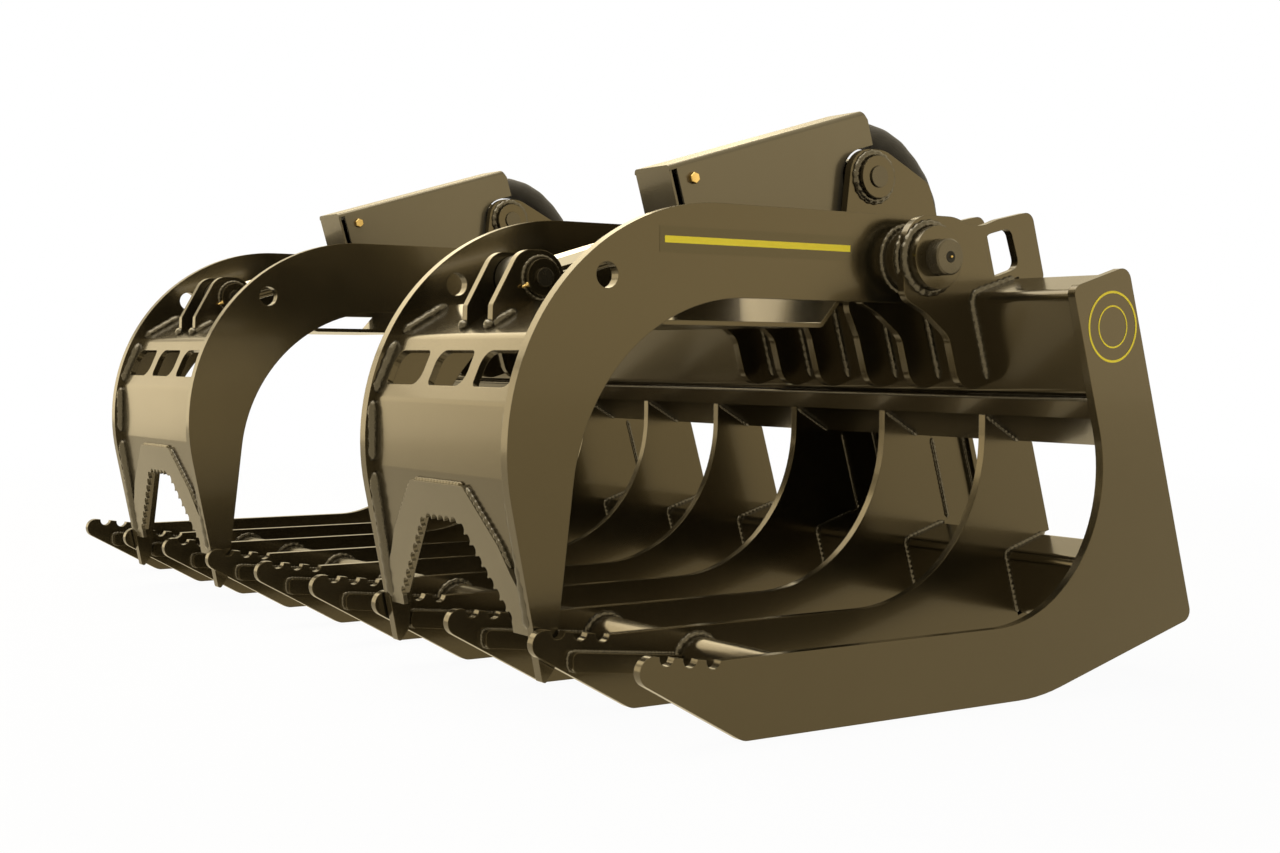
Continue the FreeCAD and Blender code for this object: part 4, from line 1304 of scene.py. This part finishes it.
@dataclass(frozen=True)
class Camera:
    """The photograph's camera.

    Attributes:
        place: its position in millimetres, in the section's Y.
        azimuth: how far the camera has gone from the front towards the +X side, in degrees.
        pitch: downward angle in degrees.
        roll: roll in degrees.
        lens: focal length in millimetres on a 36 mm sensor.
    """

    place: tuple[float, float, float] = (2611.2, -1139.7, 445.6)
    azimuth: float = 55.339
    pitch: float = 2.196
    roll: float = 0.388
    lens: float = 49.86

    def build(self) -> bpy.types.Object:
        """Add the camera.

        Returns:
            The camera object.
        """
        az, el, ro = (math.radians(v) for v in (self.azimuth, self.pitch, self.roll))
        forward = Vector((-math.sin(az) * math.cos(el), math.cos(az) * math.cos(el), -math.sin(el)))
        right = forward.cross(Vector((0, 0, 1))).normalized()
        up = right.cross(forward)
        image_right = right * math.cos(ro) + up * math.sin(ro)
        image_up = up * math.cos(ro) - right * math.sin(ro)
        data = bpy.data.cameras.new("photo_camera")
        data.lens = self.lens
        data.sensor_width = 36.0
        data.sensor_fit = "HORIZONTAL"
        data.clip_end = 60.0
        camera = bpy.data.objects.new("photo_camera", data)
        matrix = Matrix((image_right, image_up, -forward)).transposed().to_4x4()
        matrix.translation = PLAN.at(self.place[0], (self.place[1], self.place[2]))
        camera.matrix_world = matrix
        bpy.context.scene.collection.objects.link(camera)
        bpy.context.scene.camera = camera
        return camera


@dataclass(frozen=True)
class Lamp:
    """A soft rectangular light.

    Attributes:
        name: name of the light.
        place: its position in metres.
        aim: the point it faces.
        size: its width and height in metres.
        power: its power in watts.
        colour: its colour.
    """

    name: str
    place: tuple[float, float, float]
    aim: tuple[float, float, float]
    size: tuple[float, float]
    power: float
    colour: tuple[float, float, float] = (1.0, 0.97, 0.91)

    def build(self) -> None:
        """Add the light."""
        data = bpy.data.lights.new(self.name, "AREA")
        data.shape = "RECTANGLE"
        data.size, data.size_y = self.size
        data.energy = self.power
        data.color = self.colour
        lamp = bpy.data.objects.new(self.name, data)
        lamp.location = self.place
        direction = Vector(self.aim) - Vector(self.place)
        lamp.rotation_euler = direction.to_track_quat("-Z", "Y").to_euler()
        bpy.context.scene.collection.objects.link(lamp)


@dataclass
class Studio:
    """White studio with soft boxes.

    Attributes:
        warm_white: the white that glossy faces mirror.
        lamps: the soft boxes.
    """

    warm_white: ClassVar[tuple[float, float, float]] = (1.0, 0.85, 0.56)
    lamps: list[Lamp] = field(default_factory=lambda: [
        Lamp("key_front_left", (-5.4, -4.3, 1.2), (0.0, -0.3, 0.4), (6.0, 3.0), 82.0, (1.0, 0.84, 0.54)),
        Lamp("key_high", (-4.1, 0.2, 3.1), (0.0, -0.3, 0.4), (6.4, 1.8), 84.0, (1.0, 0.85, 0.56)),
        Lamp("top", (-0.4, -0.6, 3.2), (0.0, 0.0, 0.2), (3.6, 2.6), 80.0, (1.0, 0.93, 0.80)),
        Lamp("fill_right", (5.0, 3.0, 1.5), (0.5, 0.0, 0.4), (4.0, 2.5), 14.0, (1.0, 0.85, 0.56)),
    ])

    def build(self) -> None:
        """Add the floor, the white surroundings and the lights."""
        self.floor()
        self.world()
        for lamp in self.lamps:
            lamp.build()

    @staticmethod
    def floor() -> None:
        """Add a white floor that the camera sees as nearly pure white."""
        tree = NodeTree("floor_white")
        tree.nodes.remove(tree.shader)
        mottle = tree.ramp(tree.noise(0.8, detail=2.0), "Fac", (0.80, 0.80, 0.79), (0.84, 0.84, 0.83))
        diffuse = tree.add("ShaderNodeBsdfDiffuse")
        tree.link(mottle, "Color", diffuse, "Color")
        glow = tree.add("ShaderNodeEmission", Color=(1.0, 1.0, 1.0, 1.0), Strength=1.0)
        mirrored = tree.add("ShaderNodeEmission", Color=(*Studio.warm_white, 1.0), Strength=1.0)
        path = tree.add("ShaderNodeLightPath")
        place = tree.add("ShaderNodeTexCoord")
        reach = tree.add("ShaderNodeVectorMath", operation="LENGTH")
        tree.link(place, "Object", reach, "Vector")
        # Near the grapple a little of the floor's own shade is left, so that shadows show.
        fade = tree.map_range(reach, "Value", low=0.955, high=1.0)
        fade.inputs["From Min"].default_value = 1.6
        fade.inputs["From Max"].default_value = 5.0
        surface = diffuse
        for ray, shown in (("Is Glossy Ray", mirrored), ("Is Camera Ray", glow)):
            part = tree.add("ShaderNodeMath", operation="MULTIPLY")
            tree.links.new(path.outputs[ray], part.inputs[0])
            tree.links.new(fade.outputs[0], part.inputs[1])
            mix = tree.add("ShaderNodeMixShader")
            tree.links.new(part.outputs[0], mix.inputs[0])
            tree.links.new(surface.outputs[0], mix.inputs[1])
            tree.links.new(shown.outputs[0], mix.inputs[2])
            surface = mix
        tree.links.new(surface.outputs[0], tree.output.inputs["Surface"])
        data = bpy.data.meshes.new("floor")
        half, level = 14.0, -0.0005
        corners = [(x * half, y * half, level) for x, y in ((-1, -1), (1, -1), (1, 1), (-1, 1))]
        data.from_pydata(corners, [], [(0, 1, 2, 3)])
        data.materials.append(tree.material)
        floor = bpy.data.objects.new("floor", data)
        bpy.context.scene.collection.objects.link(floor)

    @staticmethod
    def world() -> None:
        """Give the world a soft warm light, which glossy faces mirror and the camera sees as white."""
        world = bpy.data.worlds.new("studio")
        bpy.context.scene.world = world
        world.use_nodes = True
        nodes, links = world.node_tree.nodes, world.node_tree.links
        nodes.clear()
        output = nodes.new("ShaderNodeOutputWorld")
        path = nodes.new("ShaderNodeLightPath")
        shades = []
        for colour, strength in (((1.0, 0.97, 0.90), 0.45), (Studio.warm_white, 1.0),
                                 ((1.0, 1.0, 1.0), 1.0)):
            shade = nodes.new("ShaderNodeBackground")
            shade.inputs["Color"].default_value = (*colour, 1.0)
            shade.inputs["Strength"].default_value = strength
            shades.append(shade)
        seen, wall, white = shades
        for ray, shown in (("Is Glossy Ray", wall), ("Is Camera Ray", white)):
            mix = nodes.new("ShaderNodeMixShader")
            links.new(path.outputs[ray], mix.inputs[0])
            links.new(seen.outputs[0], mix.inputs[1])
            links.new(shown.outputs[0], mix.inputs[2])
            seen = mix
        links.new(seen.outputs[0], output.inputs["Surface"])


def paint_frame(paints: Paints) -> None:
    """Give every CAD node its finish.

    Args:
        paints: every finish.
    """
    by_slot = {
        "frame_paint": paints.frame,
        "cylinder_paint": paints.cylinder,
        "pin_steel": paints.pin,
        "rod_chrome": paints.chrome,
        "hose_sleeve": paints.sleeve,
        "bolt_plating": paints.brass,
    }
    # The tooth plates and the guards get lighter copies of the black paint, painted sheen, told by their
    # names after the side.
    by_end = {"arm_tooth_plate": paints.tooth, "guard": paints.guard}
    slots = {s["node"]: s["material_slot"] for s in frame["record"]["subparts"]}
    for name, obj in frame["nodes"].items():
        obj.data.materials.clear()
        obj.data.materials.append(by_end.get(name.partition("_")[2], by_slot[slots[name]]))


def main() -> None:
    """Dress the grapple piece by piece."""
    logging.basicConfig(level=logging.INFO, format="%(message)s")
    paints = Paints()
    paint_frame(paints)
    shaper = Shaper(paints)
    pieces = [RootFrame(shaper), Pins(shaper), Badges(shaper)]
    for side in Side:
        pieces += [GrappleArm(shaper, side), Cylinder(shaper, side)]
    for piece in pieces:
        log.info("building %s", type(piece).__name__)
        piece.build()
    Studio().build()
    Camera().build()
    bpy.context.scene.view_settings.view_transform = "Standard"


if __name__ == "__main__":
    main()
